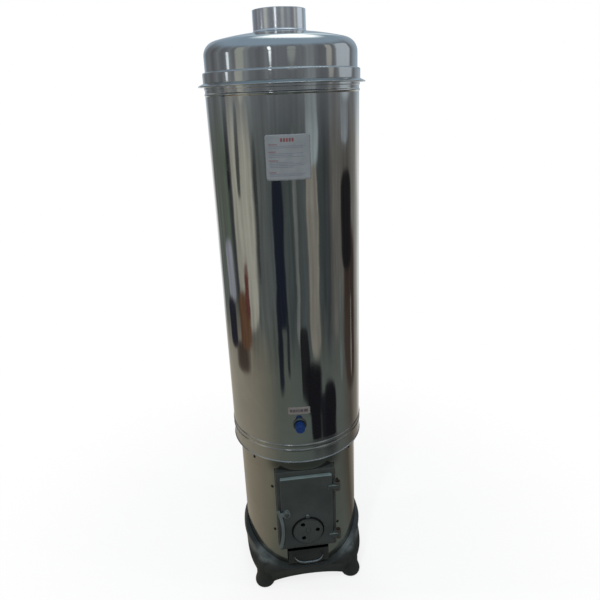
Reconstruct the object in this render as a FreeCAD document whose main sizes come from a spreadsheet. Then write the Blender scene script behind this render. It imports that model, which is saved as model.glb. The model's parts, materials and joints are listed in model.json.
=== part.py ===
import FreeCAD, Part
import Sketcher
import math
import os

# Wood-fired bath water heater: a cast base and firebox below, a jacketed water tank
# with a central flue above. Millimetres, +Z up, the fire door faces -Y, and the
# origin is on the floor under the axis of the flue.

SIZES = [
    # Fits
    ("slip_gap", 0.2, "gap between pieces that slide together by hand"),
    ("hole_gap", 0.2, "radial gap of a screw or pipe in its hole"),
    ("running_gap", 0.06, "radial gap of a turning pin in its bore"),
    # Cast base
    ("collar_height", 160, "floor to the top of the collar at the sides"),
    ("collar_dip", 88, "floor to the collar's low edge in front"),
    ("collar_level", 12, "how far in front of the axis the collar's edge starts to fall"),
    ("collar_wall", 5, "wall of the collar at its top"),
    ("seat_height", 84, "floor to the seat that carries the casing"),
    ("seat_thickness", 6, "thickness of the seat"),
    ("seat_width", 25, "width of the seat inside the collar"),
    ("casing_play", 0.5, "radial play of the casing in the collar"),
    ("neck_height", 143, "floor to the neck above the shoulder"),
    ("neck_reach", 11.5, "casing to the neck's sides"),
    ("neck_flat", 8, "half the straight part of a side at the neck"),
    ("shoulder_height", 122, "floor to the widest part of the collar"),
    ("shoulder_reach", 13, "casing to the shoulder's sides"),
    ("shoulder_flat", 5.5, "half the straight part of a side at the shoulder"),
    ("waist_height", 102, "floor to the waist above the knees"),
    ("waist_reach", 9.5, "casing to the waist's sides"),
    ("waist_flat", 13, "half the straight part of a side at the waist"),
    ("knee_height", 81, "floor to the knees"),
    ("knee_reach", 4.5, "casing to the base's sides at the knees"),
    ("knee_flat", 67, "half the straight part of a side at the knees"),
    ("skirt_low", 22, "floor to the lowest edge of the skirts, beside the feet"),
    ("skirt_height", 37, "floor to the crown of the arches between the feet"),
    ("skirt_inset", 15.5, "skirts inside the casing's line, at the crown of the arches"),
    ("skirt_flat", 106, "half the straight part of a skirt there"),
    ("arch_radius", 400, "radius of the arches"),
    ("hollow_height", 18, "floor to the hollow behind the feet"),
    ("base_wall", 8, "wall of the base casting"),
    ("foot_inset", 24, "skirt to the middle of a foot"),
    ("foot_radius", 30, "largest radius of a foot"),
    ("sole_radius", 17, "radius of the flat under a foot"),
    ("ankle_radius", 25.5, "radius of the leg above the foot"),
    ("knee_radius", 32.5, "radius of the leg at the knee"),
    ("foot_height", 26, "height of the foot's swelling"),
    # Firebox
    ("casing_radius", 174.5, "outside of the firebox casing"),
    ("casing_wall", 1.5, "wall of the casing"),
    ("casing_length", 400, "length of the casing"),
    ("drum_gap", 13, "gap between the casing and the fire drum"),
    ("drum_wall", 3, "wall of the fire drum"),
    ("drum_drop", 4, "top of the casing to the top of the fire drum"),
    ("floor_thickness", 2, "thickness of the ash floor"),
    ("grate_height", 168.5, "floor to the underside of the grate"),
    ("grate_gap", 9, "gap between the grate and the drum"),
    ("grate_thickness", 12, "thickness of the grate"),
    ("grate_rim", 14, "solid rim of the grate"),
    ("grate_slot", 11, "width of a slot in the grate"),
    ("grate_pitch", 23, "distance between slots"),
    ("carrier_width", 24.8, "width of the ring under the grate"),
    ("carrier_thickness", 6, "thickness of the ring under the grate"),
    ("carrier_leg", 14, "side of a leg of the grate carrier"),
    ("spacer_half_width", 9, "half width of a spacer between casing and drum"),
    ("spacer_half_height", 10, "half height of such a spacer"),
    # Door frame
    ("frame_proud", 1.5, "front face of the frame outside the casing"),
    ("frame_half", 86, "half width of the frame"),
    ("frame_bottom", 160, "floor to the frame's lower edge"),
    ("frame_drop", 48, "top of the casing to the frame's upper edge"),
    ("frame_wall", 6, "wall of the frame"),
    ("frame_depth", 30, "depth of the frame's sides"),
    ("frame_corner", 7, "corner radius of the frame"),
    ("opening_half", 66, "half width of the door opening"),
    ("opening_bottom", 188, "floor to the sill of the door opening"),
    ("frame_head", 27, "frame's upper edge to the head of the door opening"),
    ("throat_wall", 5, "wall of the throats behind the openings"),
    ("throat_length", 38, "front face of the frame to the inner end of the throats"),
    ("ash_half", 62, "half width of the ash opening"),
    ("ash_sill", 100, "floor to the sill of the ash opening"),
    ("flange_root", 4.9, "frame's side to where a screw flange starts inside it"),
    ("flange_sweep", 10, "angle that a screw flange spans"),
    ("flange_thickness", 3.3, "thickness of a screw flange"),
    ("flange_margin", 20, "frame's edges to the ends of a screw flange"),
    ("frame_screw_rise", 55, "frame's lower edge to the lower frame screws"),
    ("frame_screw_drop", 65, "frame's upper edge to the upper frame screws"),
    ("casing_screw_angle", 53, "angle of the casing screws from the Y axis"),
    ("casing_screw_drop", 34, "top of the casing to the casing screws"),
    ("screw_radius", 2.4, "shank radius of the screws"),
    ("screw_head_radius", 4.6, "head radius of the screws"),
    ("screw_head_height", 2.6, "head height of the screws"),
    ("screw_slot", 1.2, "width and depth of the slot in a screw's head"),
    # Fire door
    ("door_lap", 9, "door beyond its opening, at the sides"),
    ("door_lap_low", 10, "door beyond its opening, below"),
    ("door_lap_high", 11, "door beyond its opening, above"),
    ("door_thickness", 11.7, "thickness of the door"),
    ("door_gap", 0.3, "gap between door and frame"),
    ("door_edge", 3, "rounding of the door's front edges"),
    ("door_corner", 5, "corner radius of the door"),
    ("hinge_reach", 16, "edge of the door to the hinge pins"),
    ("hinge_rise", 26, "door's lower edge to the lower hinge"),
    ("hinge_drop", 42, "door's upper edge to the upper hinge"),
    ("pin_radius", 3.2, "radius of a hinge pin"),
    ("pin_head_radius", 5, "radius of a hinge pin's head"),
    ("pin_head_height", 3, "height of a hinge pin's head"),
    ("eye_radius", 8, "outside of a hinge eye"),
    ("door_eye_height", 12, "height of a door eye"),
    ("frame_eye_height", 8, "height of a frame eye"),
    ("eye_gap", 0.4, "gap between neighbouring eyes"),
    ("baffle_half", 50, "half width of the door's heat shield"),
    ("baffle_margin", 22, "door edge to the shield, above and below"),
    ("baffle_thickness", 2, "thickness of the heat shield"),
    ("stud_length", 8, "length of the studs that carry the shield"),
    ("stud_radius", 6, "radius of those studs"),
    ("stud_inset", 14, "edge of the shield to its bolts"),
    # Air rosette
    ("rosette_height", 234, "floor to the centre of the rosette"),
    ("rosette_radius", 44, "radius of the rosette"),
    ("rosette_thickness", 3, "thickness of the rosette"),
    ("rosette_groove", 3.5, "width of the groove around the rosette"),
    ("groove_depth", 2.5, "depth of that groove"),
    ("rosette_rim", 3, "width of the rosette's raised rim"),
    ("rosette_rim_height", 1.2, "height of that rim"),
    ("air_hole_radius", 6.5, "radius of an air hole"),
    ("air_circle_radius", 28, "circle of the air holes"),
    ("air_hole_angle", 2, "angle of the first air hole"),
    ("air_hole_count", 3, "number of air holes"),
    ("tab_reach", 57, "rosette centre to the end of its tab"),
    ("tab_width", 11, "width of the tab"),
    ("rivet_radius", 4, "shank radius of the rosette's rivet"),
    ("rivet_head_radius", 7.5, "head radius of that rivet"),
    ("rivet_head_height", 2.5, "head height of that rivet"),
    # Latch
    ("latch_offset", 60, "door centre to the latch spindle"),
    ("latch_height", 303, "floor to the latch spindle"),
    ("spindle_radius", 4.5, "radius of the latch spindle"),
    ("latch_boss_radius", 11, "radius of the boss under the latch"),
    ("latch_boss_height", 2, "height of that boss"),
    ("latch_thickness", 6, "thickness of the latch handle"),
    ("latch_hub_radius", 10, "radius of the handle's hub"),
    ("bow_radius", 212, "radius of the handle's bow"),
    ("bow_offset", 13, "spindle to the bow's mid line, sideways"),
    ("bow_centre_drop", 55, "spindle to the bow's centre, downwards"),
    ("bow_width", 9, "width of the bow"),
    ("bow_up", 16, "bow's upper end above the spindle"),
    ("bow_down", 119, "bow's lower end below the spindle"),
    ("cam_reach", 15.5, "spindle to the tip of the cam"),
    ("cam_width", 10, "width of the cam"),
    ("cam_thickness", 4, "thickness of the cam"),
    ("cam_gap", 1, "gap between the cam and the frame"),
    # Ash drawer
    ("drawer_play", 1.5, "gap between the drawer's front and the opening, at the sides"),
    ("drawer_front_top", 148, "floor to the top of the drawer's front"),
    ("drawer_front_thickness", 3, "thickness of the drawer's front"),
    ("drawer_recess", 1, "drawer front behind the frame's face"),
    ("pan_play", 4, "gap between the ash pan and the opening, at the sides"),
    ("pan_length", 255, "length of the ash pan"),
    ("pan_depth", 38, "depth of the ash pan"),
    ("pan_wall", 1.2, "wall of the ash pan"),
    ("pan_lift", 0.4, "gap under the ash pan"),
    ("runner_width", 12, "width of a drawer runner"),
    ("runner_length", 230, "length of a drawer runner"),
    ("handle_half", 42, "half width of the drawer's handle"),
    ("handle_height", 132, "floor to the drawer's handle"),
    ("handle_reach", 34, "how far the handle stands out"),
    ("handle_wire", 3, "radius of the handle's rod"),
    ("handle_bend", 30, "bend radius of the handle's rod"),
    ("nut_radius", 5.5, "radius of the handle's nuts"),
    ("nut_height", 4, "height of the handle's nuts"),
    # Jacket, tank and lid
    ("deck_thickness", 2, "thickness of the ring under the jacket"),
    ("jacket_reach", 15.5, "jacket outside the casing"),
    ("jacket_wall", 1, "wall of the jacket"),
    ("jacket_length", 986.5, "length of the jacket"),
    ("jacket_overhang", 9, "jacket below the top of the casing"),
    ("hem_height", 3, "height of the rolled hem"),
    ("hem_roll", 2, "how far the rolled hem stands out"),
    ("bead_low", 40, "jacket's edge to the lower bead"),
    ("bead_spacing", 15, "distance between the two beads"),
    ("bead_width", 7, "width of a bead"),
    ("bead_rise", 1.6, "how far a bead stands out"),
    ("bead_top", 24, "jacket's upper edge to the top bead"),
    ("wool_thickness", 27, "space for the wool between tank and jacket"),
    ("tank_wall", 2, "wall of the tank"),
    ("lid_clearance", 1.7, "gap between the tank's dished end and the lid"),
    ("tank_dish", 24, "height of the tank's dished end"),
    ("flue_play", 0.7, "gap between the flue tube and the spigot"),
    ("flue_wall", 2, "wall of the flue tube"),
    ("flue_top_gap", 60, "top of the spigot to the top of the flue tube"),
    ("rim_wall", 1.2, "wall of the rim ring and its brim"),
    ("rim_band", 13, "height of the rim ring's band"),
    ("brim_overhang", 13.6, "brim outside the rim ring"),
    ("brim_flat", 1.2, "brim's flat seat outside the lid's skirt"),
    ("brim_drop", 5.5, "drop of the brim from that seat to its edge"),
    ("brim_lip", 2.2, "height of the brim's turned edge"),
    ("lid_offset", 2.6, "lid's skirt outside the jacket"),
    ("lid_skirt", 24.5, "height of the lid's skirt"),
    ("lid_wall", 1.2, "wall of the lid"),
    ("ledge_width", 6.7, "width of the lid's ledge"),
    ("dome_side", 61, "ledge to the dome's sharp corner"),
    ("dome_crown", 22.5, "rise of the crown from that corner"),
    ("dome_corner", 33, "rounding of the dome's corner"),
    ("ledge_corner", 4, "rounding of the lid's ledge"),
    ("crown_radius", 700, "radius of the crown's curve"),
    ("spigot_radius", 63.5, "outside of the flue spigot"),
    ("spigot_wall", 1.3, "wall of the flue spigot"),
    ("spigot_height", 49, "spigot above the dome"),
    ("spigot_tuck", 30, "spigot below the dome's hole"),
    ("spigot_bead", 2.2, "how far the spigot's seat bead stands out"),
    # Water connections
    ("drain_angle", -3.4, "angle of the drain from the door"),
    ("drain_rise", 124, "jacket's lower edge to the drain"),
    ("drain_pipe_radius", 10.5, "outside of the drain pipe"),
    ("drain_bore_radius", 8, "bore of the drain pipe"),
    ("drain_reach", 24, "drain pipe outside the jacket"),
    ("drain_flange_radius", 18.5, "radius of the drain's cover ring"),
    ("flange_height", 5, "thickness of a cover ring"),
    ("cap_wall", 2, "wall of the drain cap"),
    ("cap_length", 20.5, "length of the drain cap"),
    ("cap_gap", 0.1, "radial gap of the cap on the pipe"),
    ("thread_depth", 0.4, "pipe outside its thread, less in radius"),
    ("water_pipe_radius", 13.2, "outside of the water pipes"),
    ("water_bore_radius", 10.5, "bore of the water pipes"),
    ("water_reach", 27.5, "water pipes outside the jacket"),
    ("water_flange_radius", 21, "radius of their cover rings"),
    ("rear_angle", 180, "angle of the water pipes from the door"),
    ("inlet_rise", 125, "jacket's lower edge to the cold inlet"),
    ("outlet_drop", 71.5, "jacket's upper edge to the hot outlet"),
]

X_AXIS = FreeCAD.Vector(1, 0, 0)
Y_AXIS = FreeCAD.Vector(0, 1, 0)
Z_AXIS = FreeCAD.Vector(0, 0, 1)
UPRIGHT = FreeCAD.Rotation(Z_AXIS, 0)
# Local +Z looks out of the front, local +Y is up.
FRONT = FreeCAD.Rotation(X_AXIS, 90)
# How far a cutting tool runs past what it cuts.
PAST = 5

doc = FreeCAD.newDocument("wood_fired_water_boiler")
sheet = doc.addObject("Spreadsheet::Sheet", "Sizes")
for row, (alias, value, note) in enumerate(SIZES, start=1):
    sheet.set(f"A{row}", alias)
    sheet.set(f"B{row}", str(value))
    sheet.set(f"C{row}", note)
    sheet.setAlias(f"B{row}", alias)
doc.recompute()


class Dim:
    """A size worked out from the sheet: its value now, and the expression that binds it."""

    def __init__(self, value, text):
        self.value = value
        self.text = text

    def _join(self, other, sign, value):
        return Dim(value, f"({self.text} {sign} {dim(other).text})")

    def __add__(self, other):
        return self._join(other, "+", self.value + dim(other).value)

    def __sub__(self, other):
        return self._join(other, "-", self.value - dim(other).value)

    def __mul__(self, other):
        return self._join(other, "*", self.value * dim(other).value)

    def __truediv__(self, other):
        return self._join(other, "/", self.value / dim(other).value)

    def __neg__(self):
        return Dim(-self.value, f"(0 - {self.text})")


def dim(size):
    """A plain number as a Dim; a Dim as it is."""
    return size if isinstance(size, Dim) else Dim(float(size), str(float(size)))


def root(size):
    """The square root of a size."""
    return Dim(math.sqrt(size.value), f"sqrt({size.text})")


def sine(angle):
    """The sine of an angle in degrees."""
    return Dim(math.sin(math.radians(angle.value)), f"sin({angle.text})")


def cosine(angle):
    """The cosine of an angle in degrees."""
    return Dim(math.cos(math.radians(angle.value)), f"cos({angle.text})")


def arcsine(ratio):
    """The angle in degrees that has this sine."""
    return Dim(math.degrees(math.asin(ratio.value)), f"(asin({ratio.text}) / 1 deg)")


class SizeTable:
    """The sheet's cells by name, each as a Dim."""

    def __getattr__(self, alias):
        return Dim(float(sheet.get(alias)), f"Sizes.{alias}")


s = SizeTable()


def bind(target, path, size):
    """Tie one property of an object to a size."""
    target.setExpression(path, dim(size).text)


def place(target, x=0, y=0, z=0, turn=UPRIGHT):
    """Put an object at a bound position, turned by a fixed rotation."""
    spots = [dim(x), dim(y), dim(z)]
    target.Placement = FreeCAD.Placement(FreeCAD.Vector(*[spot.value for spot in spots]), turn)
    for letter, spot in zip("xyz", spots):
        bind(target, f"Placement.Base.{letter}", spot)
    return target


def cylinder(name, radius, height, x=0, y=0, z=0, turn=UPRIGHT):
    """A cylinder that stands on its position."""
    solid = doc.addObject("Part::Cylinder", name)
    bind(solid, "Radius", radius)
    bind(solid, "Height", height)
    return place(solid, x, y, z, turn)


def block(name, low_x, high_x, low_y, high_y, low_z, high_z):
    """A box between bound limits along each axis."""
    solid = doc.addObject("Part::Box", name)
    bind(solid, "Length", dim(high_x) - low_x)
    bind(solid, "Width", dim(high_y) - low_y)
    bind(solid, "Height", dim(high_z) - low_z)
    return place(solid, low_x, low_y, low_z)


def joined(name, solids):
    """One solid made of overlapping solids."""
    fuse = doc.addObject("Part::MultiFuse", name)
    fuse.Shapes = solids
    fuse.Refine = True
    return fuse


def grouped(name, solids):
    """Separate solids kept together."""
    group = doc.addObject("Part::Compound", name)
    group.Links = solids
    return group


def without(name, base, tools):
    """A solid with the tools cut out of it."""
    cut = doc.addObject("Part::Cut", name)
    cut.Base = base
    cut.Tool = tools[0] if len(tools) == 1 else grouped(name + "_tools", tools)
    cut.Refine = True
    return cut


def spun(name, solid, angle):
    """A solid turned about the flue's axis by a bound angle."""
    group = grouped(name, [solid])
    group.Placement = FreeCAD.Placement(FreeCAD.Vector(), FreeCAD.Rotation(Z_AXIS, dim(angle).value))
    bind(group, "Placement.Rotation.Angle", angle)
    return group


def tube(name, outer, inner, low, high):
    """A straight tube about the flue's axis."""
    shell = cylinder(name + "_outer", outer, dim(high) - low, z=low)
    bore = cylinder(name + "_bore", inner, dim(high) - low + 2 * PAST, z=dim(low) - PAST)
    return without(name, shell, [bore])


def arc_wall(name, outer, inner, low, high, start, sweep):
    """A curved wall about the flue's axis, between two angles from the +X axis."""
    wedge = cylinder(name + "_wedge", outer, dim(high) - low, z=low)
    bind(wedge, "Angle", sweep)
    bore = cylinder(name + "_bore", inner, dim(high) - low + 2 * PAST, z=dim(low) - PAST)
    return spun(name + "_turned", without(name, wedge, [bore]), start)


def origin_plane(body, role):
    """One of a body's own origin planes."""
    return [plane for plane in body.Origin.OriginFeatures if plane.Role == role][0]


def new_sketch(body, name, role="XY_Plane", lift=0):
    """A sketch on one of the body's origin planes, lifted along its normal."""
    sketch = body.newObject("Sketcher::SketchObject", name)
    sketch.AttachmentSupport = [(origin_plane(body, role), "")]
    sketch.MapMode = "FlatFace"
    bind(sketch, "AttachmentOffset.Base.z", lift)
    return sketch


def named_constraint(sketch, name, size, *arguments):
    """A dimension in a sketch, bound to a size."""
    kind, places = arguments[0], arguments[1:]
    index = sketch.addConstraint(Sketcher.Constraint(kind, *places, dim(size).value))
    sketch.renameConstraint(index, name)
    sketch.setExpression(f"Constraints.{name}", dim(size).text)


def pin_point(sketch, edge, end, across, along):
    """Hold the end of an edge at bound coordinates."""
    for kind, size, axis in (("DistanceX", across, -2), ("DistanceY", along, -1)):
        if dim(size).value == 0:
            sketch.addConstraint(Sketcher.Constraint("PointOnObject", edge, end, axis))
        else:
            named_constraint(sketch, f"{kind}_{edge}_{end}", size, kind, -1, 1, edge, end)


def arc_between(start, end, radius):
    """An arc from start to end that bulges to the right of that line."""
    middle = (start + end) * 0.5
    chord = end - start
    reach = math.sqrt(radius ** 2 - (chord.Length / 2) ** 2)
    centre = middle + FreeCAD.Vector(-chord.y, chord.x, 0).normalize() * reach
    first = math.atan2(start.y - centre.y, start.x - centre.x)
    last = math.atan2(end.y - centre.y, end.x - centre.x)
    return Part.ArcOfCircle(Part.Circle(centre, Z_AXIS, radius), first, last)


def outline(sketch, points, arcs=None):
    """A closed outline, counter-clockwise; arcs gives the radius of an edge that is curved."""
    arcs = arcs or {}
    spots = [FreeCAD.Vector(dim(across).value, dim(along).value, 0) for across, along in points]
    count = len(points)
    for edge in range(count):
        start, end = spots[edge], spots[(edge + 1) % count]
        if edge in arcs:
            sketch.addGeometry(arc_between(start, end, dim(arcs[edge]).value), False)
        else:
            sketch.addGeometry(Part.LineSegment(start, end), False)
    for edge in range(count):
        sketch.addConstraint(Sketcher.Constraint("Coincident", edge, 2, (edge + 1) % count, 1))
    for edge, (across, along) in enumerate(points):
        pin_point(sketch, edge, 1, across, along)
    for edge, radius in arcs.items():
        named_constraint(sketch, f"Radius_{edge}", radius, "Radius", edge)


def circle(sketch, across, along, radius):
    """A circle with a bound centre and radius."""
    centre = FreeCAD.Vector(dim(across).value, dim(along).value, 0)
    edge = sketch.addGeometry(Part.Circle(centre, Z_AXIS, dim(radius).value), False)
    pin_point(sketch, edge, 3, across, along)
    named_constraint(sketch, f"Radius_{edge}", radius, "Radius", edge)


def new_body(name):
    """An empty body."""
    return doc.addObject("PartDesign::Body", name)


def turned(name, profile, arcs=None):
    """A body turned about its Z axis from a profile of radii and heights."""
    body = new_body(name)
    sketch = new_sketch(body, name + "_profile", "XZ_Plane")
    outline(sketch, profile, arcs)
    turn = body.newObject("PartDesign::Revolution", name + "_turn")
    turn.Profile = sketch
    turn.ReferenceAxis = (sketch, ["V_Axis"])
    turn.Angle = 360
    return body


def padded(body, name, sketch, length):
    """A pad along the sketch's normal."""
    pad = body.newObject("PartDesign::Pad", name)
    pad.Profile = sketch
    bind(pad, "Length", length)
    return pad


def pocketed(body, name, sketch, depth, reversed_way=False):
    """A pocket against the sketch's normal, or along it when reversed."""
    pocket = body.newObject("PartDesign::Pocket", name)
    pocket.Profile = sketch
    pocket.Reversed = reversed_way
    bind(pocket, "Length", depth)
    return pocket


def circles_at(shape, spots):
    """The names of the round edges about the Z axis with these radii and heights."""
    names = []
    for number, edge in enumerate(shape.Edges, start=1):
        if not isinstance(edge.Curve, Part.Circle):
            continue
        for radius, height in spots:
            near = abs(edge.Curve.Radius - dim(radius).value) < 0.01
            if near and abs(edge.Curve.Center.z - dim(height).value) < 0.01:
                names.append(f"Edge{number}")
    return names


def filleted(body, name, places, radius):
    """A fillet on named edges or faces of the body's last feature."""
    base = body.Tip
    fillet = body.newObject("PartDesign::Fillet", name)
    fillet.Base = (base, places)
    bind(fillet, "Radius", radius)
    body.Tip = fillet


def rounded_circles(body, name, spots, radius):
    """A fillet on the round edges at these radii and heights."""
    doc.recompute()
    filleted(body, name, circles_at(body.Tip.Shape, spots), radius)


def level_face(shape, height):
    """The names of the faces that lie level at a height."""
    names = []
    for number, face in enumerate(shape.Faces, start=1):
        box = face.BoundBox
        if abs(box.ZMin - height) < 0.001 and abs(box.ZMax - height) < 0.001:
            names.append(f"Face{number}")
    return names


def rounded_face(body, name, height, radius):
    """A fillet around the face at a height."""
    doc.recompute()
    filleted(body, name, level_face(body.Tip.Shape, dim(height).value), radius)


def rounded_rectangle(sketch, low_x, high_x, low_y, high_y, radius):
    """A rectangle with round corners."""
    low_x, high_x, low_y, high_y, radius = [dim(size) for size in (low_x, high_x, low_y, high_y, radius)]
    points = [
        (low_x + radius, low_y), (high_x - radius, low_y),
        (high_x, low_y + radius), (high_x, high_y - radius),
        (high_x - radius, high_y), (low_x + radius, high_y),
        (low_x, high_y - radius), (low_x, low_y + radius),
    ]
    outline(sketch, points, {1: radius, 3: radius, 5: radius, 7: radius})


def rounded_square(body, name, half, corner, height):
    """A level, round-cornered square about the Z axis, for a loft."""
    sketch = new_sketch(body, name, lift=height)
    rounded_rectangle(sketch, -half, half, -half, half, corner)
    return sketch


def lofted(body, name, kind, sketches):
    """A smooth loft through sketches."""
    loft = body.newObject("PartDesign::" + kind, name)
    loft.Profile = sketches[0]
    loft.Sections = sketches[1:]
    loft.Ruled = False
    loft.Refine = False
    return loft


# Heights, depths and radii that several pieces share
jacket_radius = s.casing_radius + s.jacket_reach
tank_radius = jacket_radius - s.jacket_wall - s.wool_thickness
drum_radius = s.casing_radius - s.casing_wall - s.drum_gap
carrier_radius = drum_radius - s.drum_wall - s.slip_gap
carrier_bore = carrier_radius - s.carrier_width
flue_radius = s.spigot_radius - s.spigot_wall - s.flue_play
seat_bore = s.casing_radius + s.casing_play - s.seat_width
skirt_half = s.casing_radius - s.skirt_inset
knee_half = s.casing_radius + s.knee_reach
waist_half = s.casing_radius + s.waist_reach
shoulder_half = s.casing_radius + s.shoulder_reach
neck_half = s.casing_radius + s.neck_reach
foot_middle = skirt_half - s.foot_inset
clear_reach = jacket_radius * 1.2
floor_top = s.seat_height + s.floor_thickness
casing_top = s.seat_height + s.casing_length
drum_top = casing_top - s.drum_drop
deck_top = casing_top + s.deck_thickness
frame_top = casing_top - s.frame_drop
opening_top = frame_top - s.frame_head
door_half = s.opening_half + s.door_lap
door_bottom = s.opening_bottom - s.door_lap_low
door_top = opening_top + s.door_lap_high
hinge_offset = door_half + s.hinge_reach
jacket_low = casing_top - s.jacket_overhang
jacket_high = jacket_low + s.jacket_length
brim_low = jacket_high + s.slip_gap
brim_high = brim_low + s.rim_wall
ledge = brim_high + s.lid_skirt
tank_low = drum_top + s.tank_wall
tank_high = ledge - s.lid_wall - s.lid_clearance - s.tank_wall - s.tank_dish
dome_edge = ledge + s.dome_side
spigot_hole = s.spigot_radius + s.slip_gap
spigot_seat = dome_edge + s.dome_crown
spigot_top = spigot_seat + s.spigot_height
flue_top = spigot_top - s.flue_top_gap
drain_height = jacket_low + s.drain_rise
inlet_height = jacket_low + s.inlet_rise
outlet_height = jacket_high - s.outlet_drop
frame_front = s.casing_radius + s.frame_proud
frame_back = frame_front - s.frame_wall
throat_end = frame_front - s.throat_length
flange_outer = s.casing_radius - s.casing_wall - s.slip_gap
flange_start = arcsine((s.frame_half - s.flange_root) / flange_outer)
frame_screw_angle = flange_start + s.flange_sweep / 2
door_back = frame_front + s.door_gap
door_face = door_back + s.door_thickness
hinge_depth = door_back + s.door_thickness / 2
grate_radius = drum_radius - s.drum_wall - s.grate_gap
ash_head = s.frame_bottom - s.slip_gap - s.throat_wall
pan_half = s.ash_half - s.pan_play
drawer_face = frame_front - s.drawer_recess
drawer_back = drawer_face - s.drawer_front_thickness
pan_low = s.ash_sill + s.pan_lift
screw_hole = s.screw_radius + s.hole_gap


def screw(name, seat, length, angle, height):
    """A dome-headed, slotted screw that points at the flue's axis from a seat radius."""
    radius, rise, cut = s.screw_head_radius, s.screw_head_height, s.screw_slot
    rim = rise / 4
    crown = rise - rim
    dome = (radius * radius + crown * crown) / (crown * 2)
    profile = [
        (0, -length), (s.screw_radius, -length), (s.screw_radius, 0), (radius, 0), (radius, rim), (0, rise),
    ]
    solid = place(turned(name + "_solid", profile, {4: dome}), 0, -seat, height, FRONT)
    slot = block(name + "_slot", -radius, radius, -seat - rise - PAST, -seat - rise + cut,
                 height - cut / 2, height + cut / 2)
    return spun(name, without(name + "_slotted", solid, [slot]), angle)


def radial_hole(name, radius, angle, height):
    """A tool that drills from outside to the axis."""
    drill = cylinder(name + "_drill", radius, clear_reach, z=height, turn=FRONT)
    return spun(name, drill, angle)


def arch(name, angle):
    """A tool for the arches under two facing skirts, which end beside the feet."""
    round_tool = cylinder(name + "_round", s.arch_radius, clear_reach * 2, 0, clear_reach,
                          s.skirt_height - s.arch_radius, FRONT)
    half = foot_middle - s.foot_radius
    slab = block(name + "_slab", -half, half, -clear_reach, clear_reach, -PAST, s.skirt_height + PAST)
    common = doc.addObject("Part::MultiCommon", name + "_common")
    common.Shapes = [round_tool, slab]
    return spun(name, common, angle)


def collar_cut():
    """A tool that lowers the collar's edge in a slanting plane towards the front."""
    body = new_body("collar_cut")
    sketch = new_sketch(body, "cut_profile", "YZ_Plane", -clear_reach)
    rim = s.casing_radius + s.casing_play + s.collar_wall
    slope = (s.collar_height - s.collar_dip) / (rim - s.collar_level)
    points = [
        (-clear_reach, s.collar_dip - (clear_reach - rim) * slope), (-s.collar_level, s.collar_height),
        (-s.collar_level, s.collar_height * 2), (-clear_reach, s.collar_height * 2),
    ]
    outline(sketch, points)
    padded(body, "cut_pad", sketch, clear_reach * 2)
    return body


def leg_sections():
    """Distance from the axis planes, radius and height of a leg's sections, from the sole to the knee."""
    foot = foot_middle
    swell = s.foot_height / 2
    shin = s.knee_height - s.skirt_height
    return [
        (foot - 1, s.sole_radius, dim(0)),
        (foot, s.foot_radius - 5, swell * 0.3),
        (foot, s.foot_radius, swell),
        (foot, s.ankle_radius + 3, s.foot_height),
        (foot - 0.5, s.ankle_radius, s.skirt_height),
        (foot - 2, s.ankle_radius + 0.5, s.skirt_height + shin / 3),
        (foot - 5, (s.ankle_radius + s.knee_radius) / 2, s.skirt_height + shin * 0.7),
        (foot - 11, s.knee_radius, s.knee_height + 2),
        (foot - 16, s.knee_radius - 6, s.waist_height - 1),
    ]


def base_casting():
    """Cast base: collar, seat and four legs, hollow from below, low in front for the ash drawer."""
    body = new_body("base_body")
    rim_half = s.casing_radius + s.casing_play + s.collar_wall
    sections = [
        ("skirt_edge", skirt_half - 2, skirt_half - s.skirt_flat - 3, s.skirt_low),
        ("skirt", skirt_half, skirt_half - s.skirt_flat, s.skirt_height),
        ("knee", knee_half, knee_half - s.knee_flat, s.knee_height),
        ("waist", waist_half, waist_half - s.waist_flat, s.waist_height),
        ("shoulder", shoulder_half, shoulder_half - s.shoulder_flat, s.shoulder_height),
        ("neck", neck_half, neck_half - s.neck_flat, s.neck_height),
        ("rim", rim_half, rim_half - s.base_wall, s.collar_height),
    ]
    sketches = [rounded_square(body, *section) for section in sections]
    lofted(body, "shell", "AdditiveLoft", sketches)
    circles = []
    for number, (offset, radius, height) in enumerate(leg_sections()):
        sketch = new_sketch(body, f"leg_section_{number}", lift=height)
        circle(sketch, offset, -offset, radius)
        circles.append(sketch)
    leg = lofted(body, "leg", "AdditiveLoft", circles)
    legs = body.newObject("PartDesign::PolarPattern", "legs")
    legs.Originals = [leg]
    legs.Axis = (sketches[0], ["N_Axis"])
    legs.Angle = 360
    legs.Occurrences = 4
    legs.Refine = False
    body.Tip = legs
    inner, inner_knee = skirt_half - s.base_wall, knee_half - s.base_wall
    hollow_sections = [
        ("hollow_foot", inner, inner - s.skirt_flat, s.hollow_height),
        ("hollow_skirt", inner, inner - s.skirt_flat, s.skirt_height),
        ("hollow_knee", inner_knee, inner_knee - s.knee_flat, s.seat_height - s.seat_thickness),
    ]
    hollow = [rounded_square(body, *section) for section in hollow_sections]
    lofted(body, "hollow", "SubtractiveLoft", hollow)
    bore = cylinder("collar_bore", s.casing_radius + s.casing_play, s.collar_height, z=s.seat_height)
    hole = cylinder("seat_hole", seat_bore, s.seat_height, z=s.skirt_height)
    # The soles end level on the floor.
    floor = block("floor_trim", -clear_reach, clear_reach, -clear_reach, clear_reach, -PAST * 2, 0)
    tools = [bore, hole, collar_cut(), arch("front_arch", dim(0)), arch("side_arch", dim(90)), floor]
    return without("base_casting", body, tools)


def ash_floor():
    """Round plate that closes the firebox below."""
    radius = s.casing_radius - s.casing_wall - s.slip_gap
    return cylinder("ash_floor", radius, s.floor_thickness, z=s.seat_height)


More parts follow.
